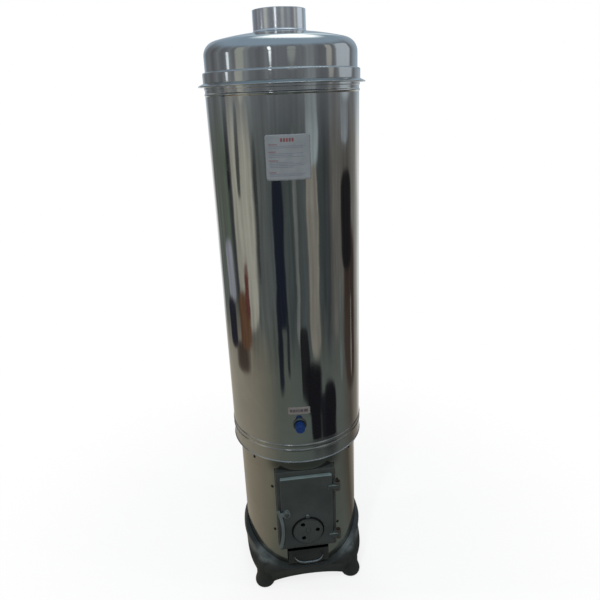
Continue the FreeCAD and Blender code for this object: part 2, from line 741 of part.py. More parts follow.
def drawer_runners():
    """Two bars on the ash floor that the pan slides on."""
    outer = pan_half - 2
    start = -throat_end + 1
    bars = []
    width = s.runner_width
    for name, low in (("left", -outer), ("right", outer - width)):
        bars.append(block(name + "_runner", low, low + width, start, start + s.runner_length, floor_top, s.ash_sill))
    return grouped("drawer_runners", bars)


def firebox_casing():
    """Polished outer casing, with a window for the frame, one for the drawer and holes for the screws."""
    shell = tube("casing_tube", s.casing_radius, s.casing_radius - s.casing_wall, s.seat_height, casing_top)
    half = s.frame_half + s.slip_gap
    low = s.frame_bottom - s.slip_gap
    window = block("casing_window", -half, half, -clear_reach, 0, low, frame_top + s.slip_gap)
    mouth = block("drawer_window", -s.ash_half, s.ash_half, -clear_reach, 0, s.ash_sill, low + PAST)
    tools = [window, mouth] + frame_screw_holes("casing") + casing_screw_holes("casing")
    return without("firebox_casing", shell, tools)


def frame_screw_spots():
    """The angle and height of each frame screw."""
    return [(turn, height) for turn in (-frame_screw_angle, frame_screw_angle)
            for height in (s.frame_bottom + s.frame_screw_rise, frame_top - s.frame_screw_drop)]


def casing_screw_spots():
    """The angle and height of each casing screw."""
    angle = s.casing_screw_angle
    height = casing_top - s.casing_screw_drop
    return [(turn, height) for turn in (-angle, angle, angle + 180, -angle + 180)]


def frame_screw_holes(owner):
    """Tools for the frame screws' holes."""
    return [radial_hole(f"{owner}_frame_hole_{number}", screw_hole, angle, height)
            for number, (angle, height) in enumerate(frame_screw_spots())]


def casing_screw_holes(owner):
    """Tools for the casing screws' holes."""
    return [radial_hole(f"{owner}_screw_hole_{number}", screw_hole, angle, height)
            for number, (angle, height) in enumerate(casing_screw_spots())]


def frame_screws():
    """Four screws through the casing into the frame's flanges."""
    length = s.casing_wall + s.flange_thickness + 4
    screws = [screw(f"frame_screw_{number}", s.casing_radius, length, angle, height)
              for number, (angle, height) in enumerate(frame_screw_spots())]
    return grouped("frame_screws", screws)


def casing_screws():
    """Four screws through the casing into the spacers."""
    screws = [screw(f"casing_screw_{number}", s.casing_radius, s.casing_wall + 8, angle, height)
              for number, (angle, height) in enumerate(casing_screw_spots())]
    return grouped("casing_screws", screws)


def drum_spacers():
    """Four blocks that keep the fire drum central in the casing."""
    inner = drum_radius + s.slip_gap
    outer = s.casing_radius - s.casing_wall - s.slip_gap
    spacers = []
    half, rise = s.spacer_half_width, s.spacer_half_height
    for number, (angle, height) in enumerate(casing_screw_spots()):
        name = f"spacer_{number}"
        solid = block(name + "_block", -half, half, -outer - PAST, -inner + PAST, height - rise, height + rise)
        ring = tube(name + "_ring", outer, inner, height - rise - PAST, height + rise + PAST)
        common = doc.addObject("Part::MultiCommon", name + "_curved")
        common.Shapes = [solid, ring]
        drill = cylinder(name + "_drill", screw_hole, clear_reach, z=height, turn=FRONT)
        spacers.append(spun(name, without(name + "_drilled", common, [drill]), angle))
    return grouped("drum_spacers", spacers)


def throat_window(name, half, low, high):
    """A tool for the hole that a throat passes through."""
    grow = s.throat_wall + 0.5
    return block(name, -half - grow, half + grow, -s.casing_radius, 0, low - grow, high + grow)


def firebox_drum():
    """Inner fire drum, with a hole for each throat."""
    shell = tube("drum_tube", drum_radius, drum_radius - s.drum_wall, floor_top, drum_top)
    door_window = throat_window("drum_door_window", s.opening_half, s.opening_bottom, opening_top)
    ash_window = throat_window("drum_ash_window", s.ash_half, floor_top, ash_head)
    return without("firebox_drum", shell, [door_window, ash_window])


def grate_carrier():
    """Ring under the grate, notched over the ash throat."""
    ring = tube("carrier_ring", carrier_radius, carrier_bore, s.grate_height - s.carrier_thickness,
                s.grate_height)
    grow = s.ash_half + s.throat_wall + s.slip_gap * 2
    notch = block("carrier_notch", -grow, grow, -drum_radius, -throat_end + s.slip_gap * 2,
                  floor_top, s.grate_height + PAST)
    return without("grate_carrier", ring, [notch])


def carrier_legs():
    """Four legs that stand on the ash floor under that ring."""
    middle = (carrier_radius + carrier_bore) / 2
    half = s.carrier_leg / 2
    legs = []
    for number, angle in enumerate((45, 135, 225, 315)):
        leg = block(f"carrier_leg_{number}_bar", -half, half, middle - half, middle + half,
                    floor_top, s.grate_height - s.carrier_thickness)
        legs.append(spun(f"carrier_leg_{number}", leg, angle))
    return grouped("carrier_legs", legs)


def grate():
    """Cast grate with long slots."""
    disc = cylinder("grate_disc", grate_radius, s.grate_thickness, z=s.grate_height)
    reach = grate_radius - s.grate_rim
    count = int((reach.value - s.grate_slot.value) / s.grate_pitch.value)
    slots = []
    for number in range(-count, count + 1):
        middle = s.grate_pitch * number
        half_length = root(reach * reach - middle * middle)
        slots.append(block(f"grate_slot_{number + count}", middle - s.grate_slot / 2, middle + s.grate_slot / 2,
                           -half_length, half_length, s.grate_height - PAST,
                           s.grate_height + s.grate_thickness + PAST))
    return without("grate", disc, slots)


def hinge_heights():
    """The two hinges by name."""
    return (("low", door_bottom + s.hinge_rise), ("high", door_top - s.hinge_drop))


def frame_eyes():
    """The frame's hinge eyes, one above and one below each door eye."""
    eyes = []
    for name, height in hinge_heights():
        inner = s.door_eye_height / 2 + s.eye_gap
        for side, low in (("upper", height + inner), ("lower", height - inner - s.frame_eye_height)):
            label = f"frame_eye_{name}_{side}"
            eye = cylinder(label + "_round", s.eye_radius, s.frame_eye_height, hinge_offset, -hinge_depth, low)
            arm = block(label + "_arm", door_half + 3, hinge_offset, -hinge_depth - s.eye_radius / 2,
                        -frame_front + 2, low, low + s.frame_eye_height)
            eyes += [eye, arm]
    return eyes


def pin_bores(owner, radius):
    """Tools for the hinge pins' bores."""
    reach = s.door_eye_height + s.frame_eye_height * 2
    return [cylinder(f"{owner}_pin_bore_{name}", radius, reach * 2, hinge_offset, -hinge_depth, height - reach)
            for name, height in hinge_heights()]


def door_frame():
    """Cast front frame: a shallow box in the casing's window, with screw flanges and hinge eyes."""
    body = new_body("frame_body")
    sketch = new_sketch(body, "frame_outline")
    rounded_rectangle(sketch, -s.frame_half, s.frame_half, s.frame_bottom, frame_top, s.frame_corner)
    padded(body, "frame_pad", sketch, s.frame_depth)
    rounded_face(body, "frame_rounding", s.frame_depth, dim(2))
    place(body, 0, -frame_front + s.frame_depth, 0, FRONT)
    inside = s.frame_half - s.frame_wall
    back = block("frame_back", -inside, inside, -frame_back, 0,
                 s.frame_bottom + s.frame_wall, frame_top - s.frame_wall)
    drum = cylinder("frame_trim", drum_radius + s.slip_gap * 2, frame_top, z=s.frame_bottom / 2)
    shell = without("frame_shell", body, [back, drum])
    flanges = []
    # Angles of a wall count from +X, and the door is at -90.
    for name, start in (("left", -flange_start - s.flange_sweep - 90), ("right", flange_start - 90)):
        flanges.append(arc_wall(name + "_flange", flange_outer, flange_outer - s.flange_thickness,
                                s.frame_bottom + s.flange_margin, frame_top - s.flange_margin,
                                start, s.flange_sweep))
    solid = joined("frame_solid", [shell] + flanges + frame_eyes())
    opening = block("frame_opening", -s.opening_half, s.opening_half, -frame_front - PAST, -frame_back + PAST,
                    s.opening_bottom, opening_top)
    tools = [opening] + frame_screw_holes("frame") + pin_bores("frame", s.pin_radius)
    return without("door_frame", solid, tools)


def door_throat():
    """Square sleeve behind the door opening, from the frame into the drum, with a slot for the cam."""
    wall = s.throat_wall
    half, low, high = s.opening_half, s.opening_bottom, opening_top
    outer = block("door_throat_outer", -half - wall, half + wall, -frame_back, -throat_end,
                  low - wall, high + wall)
    inner = block("door_throat_inner", -half, half, -frame_back - PAST, -throat_end + PAST, low, high)
    slot = block("cam_slot", -half - wall - PAST, -half + PAST, -frame_back - PAST,
                 -frame_back + s.cam_gap + s.cam_thickness + 3, s.latch_height - s.cam_width,
                 s.latch_height + s.cam_reach + 3)
    return without("door_throat", outer, [inner, slot])


def ash_throat():
    """Bent sheet round the ash drawer's way, from the casing into the drum, standing on the ash floor."""
    wall, half = s.throat_wall, s.ash_half
    casing = s.casing_radius - s.casing_wall - s.slip_gap
    start = root(casing * casing - (half + wall) * (half + wall))
    outer = block("ash_throat_outer", -half - wall, half + wall, -start, -throat_end,
                  floor_top, ash_head + wall)
    inner = block("ash_throat_inner", -half, half, -start - PAST, -throat_end + PAST,
                  floor_top - PAST, ash_head)
    return without("ash_throat", outer, [inner])


def hinge_pins():
    """Two headed pins, tight in the frame's eyes."""
    pins = []
    for name, height in hinge_heights():
        half = s.door_eye_height / 2 + s.eye_gap + s.frame_eye_height
        shank = cylinder(f"pin_{name}_shank", s.pin_radius, half * 2 + 3, hinge_offset, -hinge_depth,
                         height - half - 3)
        head = cylinder(f"pin_{name}_head", s.pin_head_radius, s.pin_head_height, hinge_offset, -hinge_depth,
                        height + half)
        pins.append(joined(f"hinge_pin_{name}", [shank, head]))
    return grouped("hinge_pins", pins)


def baffle_spots():
    """The bolts of the heat shield: across and height."""
    across = s.baffle_half - s.stud_inset
    low = door_bottom + s.baffle_margin + s.stud_inset
    high = door_top - s.baffle_margin - s.stud_inset
    return [(side, height) for side in (-across, across) for height in (low, high)]


def air_holes(body, depth, lift, reversed_way=False):
    """Air holes about the body's own Z axis."""
    name = body.Name
    sketch = new_sketch(body, name + "_air_hole", lift=lift)
    across = s.air_circle_radius * cosine(s.air_hole_angle)
    along = s.air_circle_radius * sine(s.air_hole_angle)
    circle(sketch, across, along, s.air_hole_radius)
    pocket = pocketed(body, name + "_air_pocket", sketch, depth, reversed_way)
    pattern = body.newObject("PartDesign::PolarPattern", name + "_air_pattern")
    pattern.Originals = [pocket]
    pattern.Axis = (sketch, ["N_Axis"])
    pattern.Angle = 360
    bind(pattern, "Occurrences", s.air_hole_count)
    body.Tip = pattern


def fire_door():
    """Cast fire door, with hinge eyes, air holes, a ring groove and studs for the heat shield."""
    # The body's own origin is the centre of the rosette, on the back of the door.
    body = new_body("door_body")
    sketch = new_sketch(body, "door_outline")
    rounded_rectangle(sketch, -door_half, door_half, door_bottom - s.rosette_height,
                      door_top - s.rosette_height, s.door_corner)
    padded(body, "door_pad", sketch, s.door_thickness)
    rounded_face(body, "door_rounding", s.door_thickness, s.door_edge)
    groove = new_sketch(body, "groove_ring", lift=s.door_thickness)
    circle(groove, 0, 0, s.rosette_radius + 0.5)
    circle(groove, 0, 0, s.rosette_radius + s.rosette_groove)
    pocketed(body, "groove", groove, s.groove_depth)
    air_holes(body, s.door_thickness + PAST, s.door_thickness)
    place(body, 0, -door_back, s.rosette_height, FRONT)
    boss = cylinder("latch_boss", s.latch_boss_radius, s.latch_boss_height + 1, -s.latch_offset,
                    -door_face + 1, s.latch_height, FRONT)
    extras = [boss]
    for name, height in hinge_heights():
        low = height - s.door_eye_height / 2
        extras.append(cylinder(f"door_eye_{name}", s.eye_radius, s.door_eye_height, hinge_offset,
                               -hinge_depth, low))
        extras.append(block(f"door_arm_{name}", door_half - 12, hinge_offset, -hinge_depth - s.eye_radius,
                            -hinge_depth + 4, low, low + s.door_eye_height))
    for number, (across, height) in enumerate(baffle_spots()):
        extras.append(cylinder(f"door_stud_{number}", s.stud_radius, s.stud_length + 1, across,
                               -door_back + s.stud_length, height, FRONT))
    solid = joined("door_solid", [body] + extras)
    tools = pin_bores("door", s.pin_radius + s.running_gap)
    tools.append(cylinder("rivet_bore", s.rivet_radius, s.door_thickness * 2, 0, -door_back + PAST,
                          s.rosette_height, FRONT))
    tools.append(cylinder("spindle_bore", s.spindle_radius + s.running_gap, s.door_thickness * 2,
                          -s.latch_offset, -door_back + PAST, s.latch_height, FRONT))
    for number, (across, height) in enumerate(baffle_spots()):
        tools.append(cylinder(f"stud_bore_{number}", s.screw_radius, s.stud_length + PAST, across,
                              -door_back + s.stud_length + 1, height, FRONT))
    return without("fire_door", solid, tools)


def door_baffle():
    """Heat shield on the door's studs."""
    front = -door_back + s.stud_length
    plate = block("baffle_plate", -s.baffle_half, s.baffle_half, front, front + s.baffle_thickness,
                  door_bottom + s.baffle_margin, door_top - s.baffle_margin)
    holes = [cylinder(f"baffle_hole_{number}", screw_hole, PAST * 4, across, front + PAST * 2, height, FRONT)
             for number, (across, height) in enumerate(baffle_spots())]
    return without("door_baffle", plate, holes)


def baffle_bolts():
    """Four bolts that hold the heat shield."""
    seat = -door_back + s.stud_length + s.baffle_thickness
    bolts = []
    for number, (across, height) in enumerate(baffle_spots()):
        shank = cylinder(f"bolt_{number}_shank", s.screw_radius, s.stud_length + s.baffle_thickness, across,
                         seat, height, FRONT)
        head = doc.addObject("Part::Prism", f"bolt_{number}_head")
        head.Polygon = 6
        bind(head, "Circumradius", s.screw_head_radius)
        bind(head, "Height", s.screw_head_height)
        place(head, across, seat + s.screw_head_height, height, FRONT)
        bolts.append(joined(f"baffle_bolt_{number}", [shank, head]))
    return grouped("baffle_bolts", bolts)


def air_rosette():
    """Round air slide with a raised rim, a rib and a tab, turning on the door."""
    body = new_body("rosette_body")
    sketch = new_sketch(body, "rosette_disc")
    circle(sketch, 0, 0, s.rosette_radius)
    padded(body, "rosette_pad", sketch, s.rosette_thickness)
    rim = new_sketch(body, "rosette_rim", lift=s.rosette_thickness)
    circle(rim, 0, 0, s.rosette_radius)
    circle(rim, 0, 0, s.rosette_radius - s.rosette_rim)
    padded(body, "rim_pad", rim, s.rosette_rim_height)
    air_holes(body, s.rosette_thickness + PAST, s.rosette_thickness)
    lift = door_face + s.door_gap
    place(body, 0, -lift, s.rosette_height, FRONT)
    full = s.rosette_thickness + s.rosette_rim_height
    half = s.tab_width / 2
    tab = block("rosette_tab", -half, half, -lift - full, -lift, s.rosette_height + s.rosette_radius - 6,
                s.rosette_height + s.tab_reach - half)
    tip = cylinder("rosette_tab_tip", half, full, 0, -lift, s.rosette_height + s.tab_reach - half, FRONT)
    rib = block("rosette_rib", -1.5, 1.5, -lift - full, -lift,
                s.rosette_height - s.rosette_radius + 2, s.rosette_height - s.rivet_head_radius - 2)
    solid = joined("rosette_solid", [body, tab, tip, rib])
    bore = cylinder("rosette_bore", s.rivet_radius + s.running_gap, PAST * 4, 0, -lift + PAST * 2,
                    s.rosette_height, FRONT)
    return without("air_rosette", solid, [bore])


def rosette_rivet():
    """Rivet that the rosette turns on."""
    outside = s.rosette_thickness + s.door_gap + s.door_gap
    profile = [
        (0, 0), (s.rivet_radius, 0), (s.rivet_radius, s.door_thickness + outside),
        (s.rivet_head_radius, s.door_thickness + outside),
        (s.rivet_radius, s.door_thickness + outside + s.rivet_head_height),
        (0, s.door_thickness + outside + s.rivet_head_height),
    ]
    body = turned("rosette_rivet", profile)
    return place(body, 0, -door_back, s.rosette_height, FRONT)


def latch_handle():
    """Bowed handle that hangs from the latch spindle."""
    # The body's own origin is on the spindle, and the bow's centre lies far to the left.
    body = new_body("latch_body")
    sketch = new_sketch(body, "bow_outline")
    centre = -s.bow_offset - s.bow_radius
    rise, fall = s.bow_up + s.bow_centre_drop, s.bow_down - s.bow_centre_drop
    inner, outer = s.bow_radius - s.bow_width / 2, s.bow_radius + s.bow_width / 2
    points = []
    for radius, height in ((inner, rise), (inner, -fall), (outer, -fall), (outer, rise)):
        points.append((centre + root(radius * radius - height * height), height - s.bow_centre_drop))
    # Counter-clockwise: down the inner side, then up the outer side.
    inner_side, outer_side = points[:2], points[2:]
    start, end = [FreeCAD.Vector(across.value, along.value, 0) for across, along in inner_side]
    inner_arc = arc_between(end, start, inner.value)
    start_out, end_out = [FreeCAD.Vector(across.value, along.value, 0) for across, along in outer_side]
    outer_arc = arc_between(start_out, end_out, outer.value)
    for geometry in (inner_arc, Part.LineSegment(start, end_out), outer_arc, Part.LineSegment(start_out, end)):
        sketch.addGeometry(geometry, False)
    for first, first_end, second, second_end in ((0, 2, 1, 1), (1, 2, 2, 2), (2, 1, 3, 1), (3, 2, 0, 1)):
        sketch.addConstraint(Sketcher.Constraint("Coincident", first, first_end, second, second_end))
    for edge, point_end, point in ((0, 1, 1), (0, 2, 0), (2, 1, 2), (2, 2, 3)):
        pin_point(sketch, edge, point_end, *points[point])
    named_constraint(sketch, "Radius_inner", inner, "Radius", 0)
    named_constraint(sketch, "Radius_outer", outer, "Radius", 2)
    padded(body, "bow_pad", sketch, s.latch_thickness)
    rounded_face(body, "bow_rounding", s.latch_thickness, dim(1.5))
    lift = door_face + s.latch_boss_height + s.door_gap
    place(body, -s.latch_offset, -lift, s.latch_height, FRONT)
    hub = cylinder("latch_hub", s.latch_hub_radius, s.latch_thickness, -s.latch_offset, -lift,
                   s.latch_height, FRONT)
    half = s.bow_width / 2
    arm = block("latch_arm", -s.latch_offset - s.bow_offset - half, -s.latch_offset, -lift - s.latch_thickness,
                -lift, s.latch_height - half, s.latch_height + half + 2)
    solid = joined("latch_solid", [body, hub, arm])
    bore = cylinder("latch_bore", s.spindle_radius, PAST * 4, -s.latch_offset, -lift + PAST,
                    s.latch_height, FRONT)
    return without("latch_handle", solid, [bore])


def cam_depth():
    """Axis to the front of the cam, which lies behind the frame's front wall."""
    return frame_back - s.cam_gap


def latch_spindle():
    """Spindle through the door, with a head outside."""
    inner_end = cam_depth() - s.cam_thickness
    lift = door_face + s.latch_boss_height + s.door_gap + s.latch_thickness
    length = lift - inner_end
    head = s.spindle_radius + 3
    profile = [
        (0, 0), (s.spindle_radius, 0), (s.spindle_radius, length), (head, length),
        (head - 1.5, length + 2.5), (0, length + 2.5),
    ]
    body = turned("latch_spindle", profile)
    return place(body, -s.latch_offset, -inner_end, s.latch_height, FRONT)


def latch_cam():
    """Short cam on the spindle that hooks behind the frame."""
    front = -cam_depth()
    half = s.cam_width / 2
    bar = block("cam_bar", -s.latch_offset - s.cam_reach, -s.latch_offset, front, front + s.cam_thickness,
                s.latch_height - half, s.latch_height + half)
    hub = cylinder("cam_hub", s.spindle_radius + 1.2, s.cam_thickness, -s.latch_offset,
                   front + s.cam_thickness, s.latch_height, FRONT)
    bore = cylinder("cam_bore", s.spindle_radius, PAST * 4, -s.latch_offset, front + PAST * 2,
                    s.latch_height, FRONT)
    return without("latch_cam", joined("cam_solid", [bar, hub]), [bore])


def ash_pan():
    """Folded sheet pan, open at the top."""
    start = -drawer_back
    end = start + s.pan_length
    outer = block("pan_outer", -pan_half, pan_half, start, end, pan_low, pan_low + s.pan_depth)
    inner = block("pan_inner", -pan_half + s.pan_wall, pan_half - s.pan_wall, start + s.pan_wall,
                  end - s.pan_wall, pan_low + s.pan_wall, pan_low + s.pan_depth + PAST)
    return without("ash_pan", outer, [inner] + handle_holes("pan", s.nut_radius + 1))


def handle_holes(owner, radius):
    """Tools for the two ends of the drawer's handle."""
    return [cylinder(f"{owner}_handle_hole_{name}", radius, PAST * 3, side, -drawer_back + PAST,
                     s.handle_height, FRONT)
            for name, side in (("left", -s.handle_half), ("right", s.handle_half))]


def ash_drawer_front():
    """Front plate of the ash drawer."""
    half = s.ash_half - s.drawer_play
    plate = block("drawer_plate", -half, half, -drawer_face, -drawer_back,
                  pan_low, s.drawer_front_top)
    return without("ash_drawer_front", plate, handle_holes("front", s.handle_wire))


def ash_drawer_handle():
    """Bent rod: straight out of the front plate, round two bends and across."""
    body = new_body("ash_drawer_handle")
    path = new_sketch(body, "handle_path")
    start = drawer_back - s.nut_height
    bend = s.handle_bend
    reach = drawer_face + s.handle_reach - s.handle_wire
    half = s.handle_half
    points = [
        (-half, -start), (-half, -reach + bend), (-half + bend, -reach),
        (half - bend, -reach), (half, -reach + bend), (half, -start),
    ]
    spots = [FreeCAD.Vector(dim(across).value, dim(along).value, 0) for across, along in points]
    for edge in range(5):
        start_spot, end_spot = spots[edge], spots[edge + 1]
        if edge in (1, 3):
            path.addGeometry(arc_between(start_spot, end_spot, bend.value), False)
        else:
            path.addGeometry(Part.LineSegment(start_spot, end_spot), False)
    for edge in range(4):
        path.addConstraint(Sketcher.Constraint("Coincident", edge, 2, edge + 1, 1))
    for edge in range(5):
        pin_point(path, edge, 1, *points[edge])
    pin_point(path, 4, 2, *points[5])
    for edge in (1, 3):
        named_constraint(path, f"Radius_{edge}", bend, "Radius", edge)
    section = new_sketch(body, "handle_section", "XZ_Plane", start)
    circle(section, -half, 0, s.handle_wire)
    pipe = body.newObject("PartDesign::AdditivePipe", "handle_pipe")
    pipe.Profile = section
    pipe.Spine = path
    return place(body, 0, 0, s.handle_height)


def handle_nuts():
    """Two nuts behind the drawer's front."""
    nuts = []
    for name, side in (("left", -s.handle_half), ("right", s.handle_half)):
        nut = doc.addObject("Part::Prism", f"nut_{name}_hexagon")
        nut.Polygon = 6
        bind(nut, "Circumradius", s.nut_radius)
        bind(nut, "Height", s.nut_height)
        place(nut, side, -drawer_back + s.nut_height, s.handle_height, FRONT)
        bore = cylinder(f"nut_{name}_bore", s.handle_wire, PAST * 3, side, -drawer_back + PAST * 2,
                        s.handle_height, FRONT)
        nuts.append(without(f"handle_nut_{name}", nut, [bore]))
    return grouped("handle_nuts", nuts)


def deck_ring():
    """Flat ring on the casing that carries the jacket and its insulation."""
    return tube("deck_ring", jacket_radius - s.jacket_wall - s.slip_gap, tank_radius + s.slip_gap,
                casing_top, deck_top)


def outer_jacket():
    """Polished jacket with a rolled hem and pressed beads."""
    outer, inner = jacket_radius, jacket_radius - s.jacket_wall
    low, high = jacket_low, jacket_high
    roll = s.hem_roll
    profile = [(inner, low), (outer + roll - 0.8, low), (outer + roll, low + s.hem_height / 2),
               (outer + roll - 0.8, low + s.hem_height), (outer, low + s.hem_height)]
    beads = (low + s.bead_low, low + s.bead_low + s.bead_spacing, high - s.bead_top)
    for middle in beads:
        half = s.bead_width / 2
        profile += [(outer, middle - half), (outer + s.bead_rise, middle - half / 3),
                    (outer + s.bead_rise, middle + half / 3), (outer, middle + half)]
    profile += [(outer, high), (inner, high)]
    shell = turned("jacket_shell", profile)
    drains = water_holes("jacket")
    return without("outer_jacket", shell, drains)


def pipe_angles():
    """Each water pipe: name, angle from the door, height, radius and bore."""
    return (
        ("drain", s.drain_angle, drain_height, s.drain_pipe_radius, s.drain_bore_radius),
        ("cold_inlet", s.rear_angle, inlet_height, s.water_pipe_radius, s.water_bore_radius),
        ("hot_outlet", s.rear_angle, outlet_height, s.water_pipe_radius, s.water_bore_radius),
    )


def water_holes(owner):
    """Tools for the holes that the water pipes pass through."""
    tools = []
    for name, angle, height, radius, _ in pipe_angles():
        drill = cylinder(f"{owner}_{name}_drill", radius + s.hole_gap, clear_reach - flue_radius - PAST,
                         0, -flue_radius - PAST, height, FRONT)
        tools.append(spun(f"{owner}_{name}_hole", drill, angle))
    return tools


def tank_shell():
    """Water tank's shell."""
    shell = tube("tank_tube", tank_radius, tank_radius - s.tank_wall, tank_low, tank_high)
    return without("tank_shell", shell, water_holes("tank"))


def tank_bottom():
    """Plate under the tank, which stands on the fire drum."""
    return tube("tank_bottom", tank_radius, flue_radius + s.slip_gap, drum_top, tank_low)


def tank_top():
    """Dished end on top of the tank, round the flue tube."""
    wall = s.tank_wall
    inner = flue_radius + s.slip_gap
    profile = [
        (inner, tank_high + s.tank_dish), (tank_radius - s.tank_dish, tank_high + s.tank_dish - 6),
        (tank_radius, tank_high), (tank_radius, tank_high + wall),
        (tank_radius - s.tank_dish, tank_high + s.tank_dish - 6 + wall),
        (inner, tank_high + s.tank_dish + wall),
    ]
    return turned("tank_top", profile)


def flue_tube():
    """Flue through the middle of the tank."""
    return tube("flue_tube", flue_radius, flue_radius - s.flue_wall, drum_top, flue_top)


def insulation():
    """Mineral wool between tank and jacket."""
    gap = s.slip_gap + 0.1
    wool = tube("wool_tube", jacket_radius - s.jacket_wall - gap, tank_radius + gap,
                deck_top + gap, jacket_high - gap)
    return without("insulation", wool, water_holes("wool"))


def top_rim():
    """Rim ring on top of the jacket, with a brim that slopes down to a turned edge."""
    inner = jacket_radius + s.slip_gap
    wall = s.rim_wall
    band_low = brim_low - s.rim_band
    seat = jacket_radius + s.lid_offset + s.brim_flat
    edge = inner + wall + s.brim_overhang
    edge_high = brim_high - s.brim_drop
    inside = jacket_radius - s.jacket_wall * 4
    profile = [
        (inner, band_low), (inner + wall, band_low), (inner + wall, brim_low),
        (seat, brim_low), (edge - wall, edge_high - wall), (edge - wall, edge_high - s.brim_lip),
        (edge, edge_high - s.brim_lip), (edge, edge_high), (seat, brim_high),
        (inside, brim_high), (inside, brim_low), (inner, brim_low),
    ]
    return turned("top_rim", profile)


def lid():
    """Spun lid: skirt, ledge and dome in one piece, with a hole for the spigot."""
    wall = s.lid_wall
    skirt = jacket_radius + s.lid_offset
    dome = skirt - s.ledge_width
    profile = [
        (skirt - wall, brim_high), (skirt, brim_high), (skirt, ledge), (dome, ledge),
        (dome, dome_edge), (spigot_hole, spigot_seat), (spigot_hole, spigot_seat - wall),
        (dome - wall, dome_edge - wall), (dome - wall, ledge - wall), (skirt - wall, ledge - wall),
    ]
    body = turned("lid", profile, {4: s.crown_radius})
    rounded_circles(body, "dome_rounding", [(dome, dome_edge)], s.dome_corner)
    rounded_circles(body, "dome_rounding_inside", [(dome - wall, dome_edge - wall)], s.dome_corner - wall)
    rounded_circles(body, "ledge_rounding", [(skirt, ledge)], s.ledge_corner)
    rounded_circles(body, "ledge_rounding_inside", [(skirt - wall, ledge - wall)], s.ledge_corner - wall)
    return body


def flue_spigot():
    """Spigot for the stove pipe, seated on the dome by a bead."""
    outer, inner = s.spigot_radius, s.spigot_radius - s.spigot_wall
    low = spigot_seat - s.spigot_tuck
    bead = s.spigot_bead
    profile = [
        (inner, low), (outer, low), (outer, spigot_seat), (outer + bead, spigot_seat),
        (outer + bead, spigot_seat + bead), (outer, spigot_seat + bead * 2), (outer, spigot_top),
        (inner, spigot_top),
    ]
    return turned("flue_spigot", profile)


def water_pipe(name, angle, height, radius, bore, reach):
    """A pipe from the tank's wall out through the jacket, with its thread outside."""
    inside = tank_radius - s.tank_wall * 4
    length = jacket_radius + reach - inside
    thread = jacket_radius + s.flange_height + 1 - inside
    plain = radius - s.thread_depth
    profile = [(bore, 0), (plain, 0), (plain, thread), (radius, thread), (radius, length - 1),
               (radius - 1, length), (bore, length)]
    pipe = place(turned(name + "_solid", profile), 0, -inside, height, FRONT)
    return spun(name, pipe, angle)


def cover_ring(name, angle, height, radius, hole):
    """A ring on the jacket around a pipe; its back follows the jacket."""
    back = jacket_radius - 4
    bevel = 2
    depth = s.flange_height + 4 - bevel
    outer = cylinder(name + "_disc", radius, depth, 0, -back, height, FRONT)
    chamfered = doc.addObject("Part::Cone", name + "_bevel")
    bind(chamfered, "Radius1", radius)
    bind(chamfered, "Radius2", radius - bevel)
    bind(chamfered, "Height", bevel)
    place(chamfered, 0, -back - depth, height, FRONT)
    solid = joined(name + "_solid", [outer, chamfered])
    jacket = cylinder(name + "_jacket", jacket_radius + 0.1, radius * 4, z=height - radius * 2)
    bore = cylinder(name + "_bore", hole + s.hole_gap, clear_reach, 0, 0, height, FRONT)
    return spun(name, without(name + "_ring", solid, [jacket, bore]), angle)


def drain_cap():
    """Closed plastic cap on the drain pipe, ribbed for the fingers."""
    inner = s.drain_pipe_radius + s.cap_gap
    outer = inner + s.cap_wall
    inside = s.cap_length - s.cap_wall * 1.5
    profile = [
        (inner, 0), (outer + 0.8, 0), (outer + 0.8, 3), (outer, 3.5), (outer, s.cap_length - 2),
        (outer - 2, s.cap_length), (0, s.cap_length), (0, inside), (inner, inside),
    ]
    end = jacket_radius + s.drain_reach + s.slip_gap
    cap = place(turned("drain_cap_solid", profile), 0, -end + inside, drain_height, FRONT)
    return spun("drain_cap", cap, s.drain_angle)


def water_connections():
    """The drain, the cold inlet and the hot outlet, each with its cover ring."""
    names = []
    for name, angle, height, radius, bore in pipe_angles():
        drain = name == "drain"
        reach = s.drain_reach if drain else s.water_reach
        ring_radius = s.drain_flange_radius if drain else s.water_flange_radius
        names.append(water_pipe(name + "_pipe", angle, height, radius, bore, reach))
        names.append(cover_ring(name + "_ring", angle, height, ring_radius, radius))
    return names


def check(node):
    """Stop if a sub-part has no sound shape."""
    if node.Shape.isNull() or not node.Shape.isValid():
        raise RuntimeError(f"{node.Label} has no valid shape")
    if not node.Shape.Solids:
        raise RuntimeError(f"{node.Label} has no solid")


subparts = [
    base_casting(), ash_floor(), drawer_runners(), firebox_casing(), frame_screws(), casing_screws(),
    drum_spacers(), firebox_drum(), grate_carrier(), carrier_legs(), grate(), door_frame(), door_throat(),
    ash_throat(), hinge_pins(), fire_door(),
    door_baffle(), baffle_bolts(), air_rosette(), rosette_rivet(), latch_handle(), latch_spindle(),
    latch_cam(), ash_pan(), ash_drawer_front(), ash_drawer_handle(), handle_nuts(), deck_ring(),
    outer_jacket(), tank_shell(), tank_bottom(), tank_top(), flue_tube(), insulation(), top_rim(),
    lid(), flue_spigot(), drain_cap(),
] + water_connections()
doc.recompute()

failed = [thing.Label for thing in doc.Objects if {"Invalid", "Error"} & set(thing.State)]
if failed:
    raise RuntimeError("not recomputed: " + ", ".join(failed))
os.makedirs("parts", exist_ok=True)
for subpart in subparts:
    check(subpart)
for subpart in subparts:
    subpart.Shape.exportStep(f"parts/{subpart.Label}.step")
print(len(subparts), "sub-parts written")
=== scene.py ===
import json
import math

import bpy
import bmesh
from mathutils import Matrix, Vector


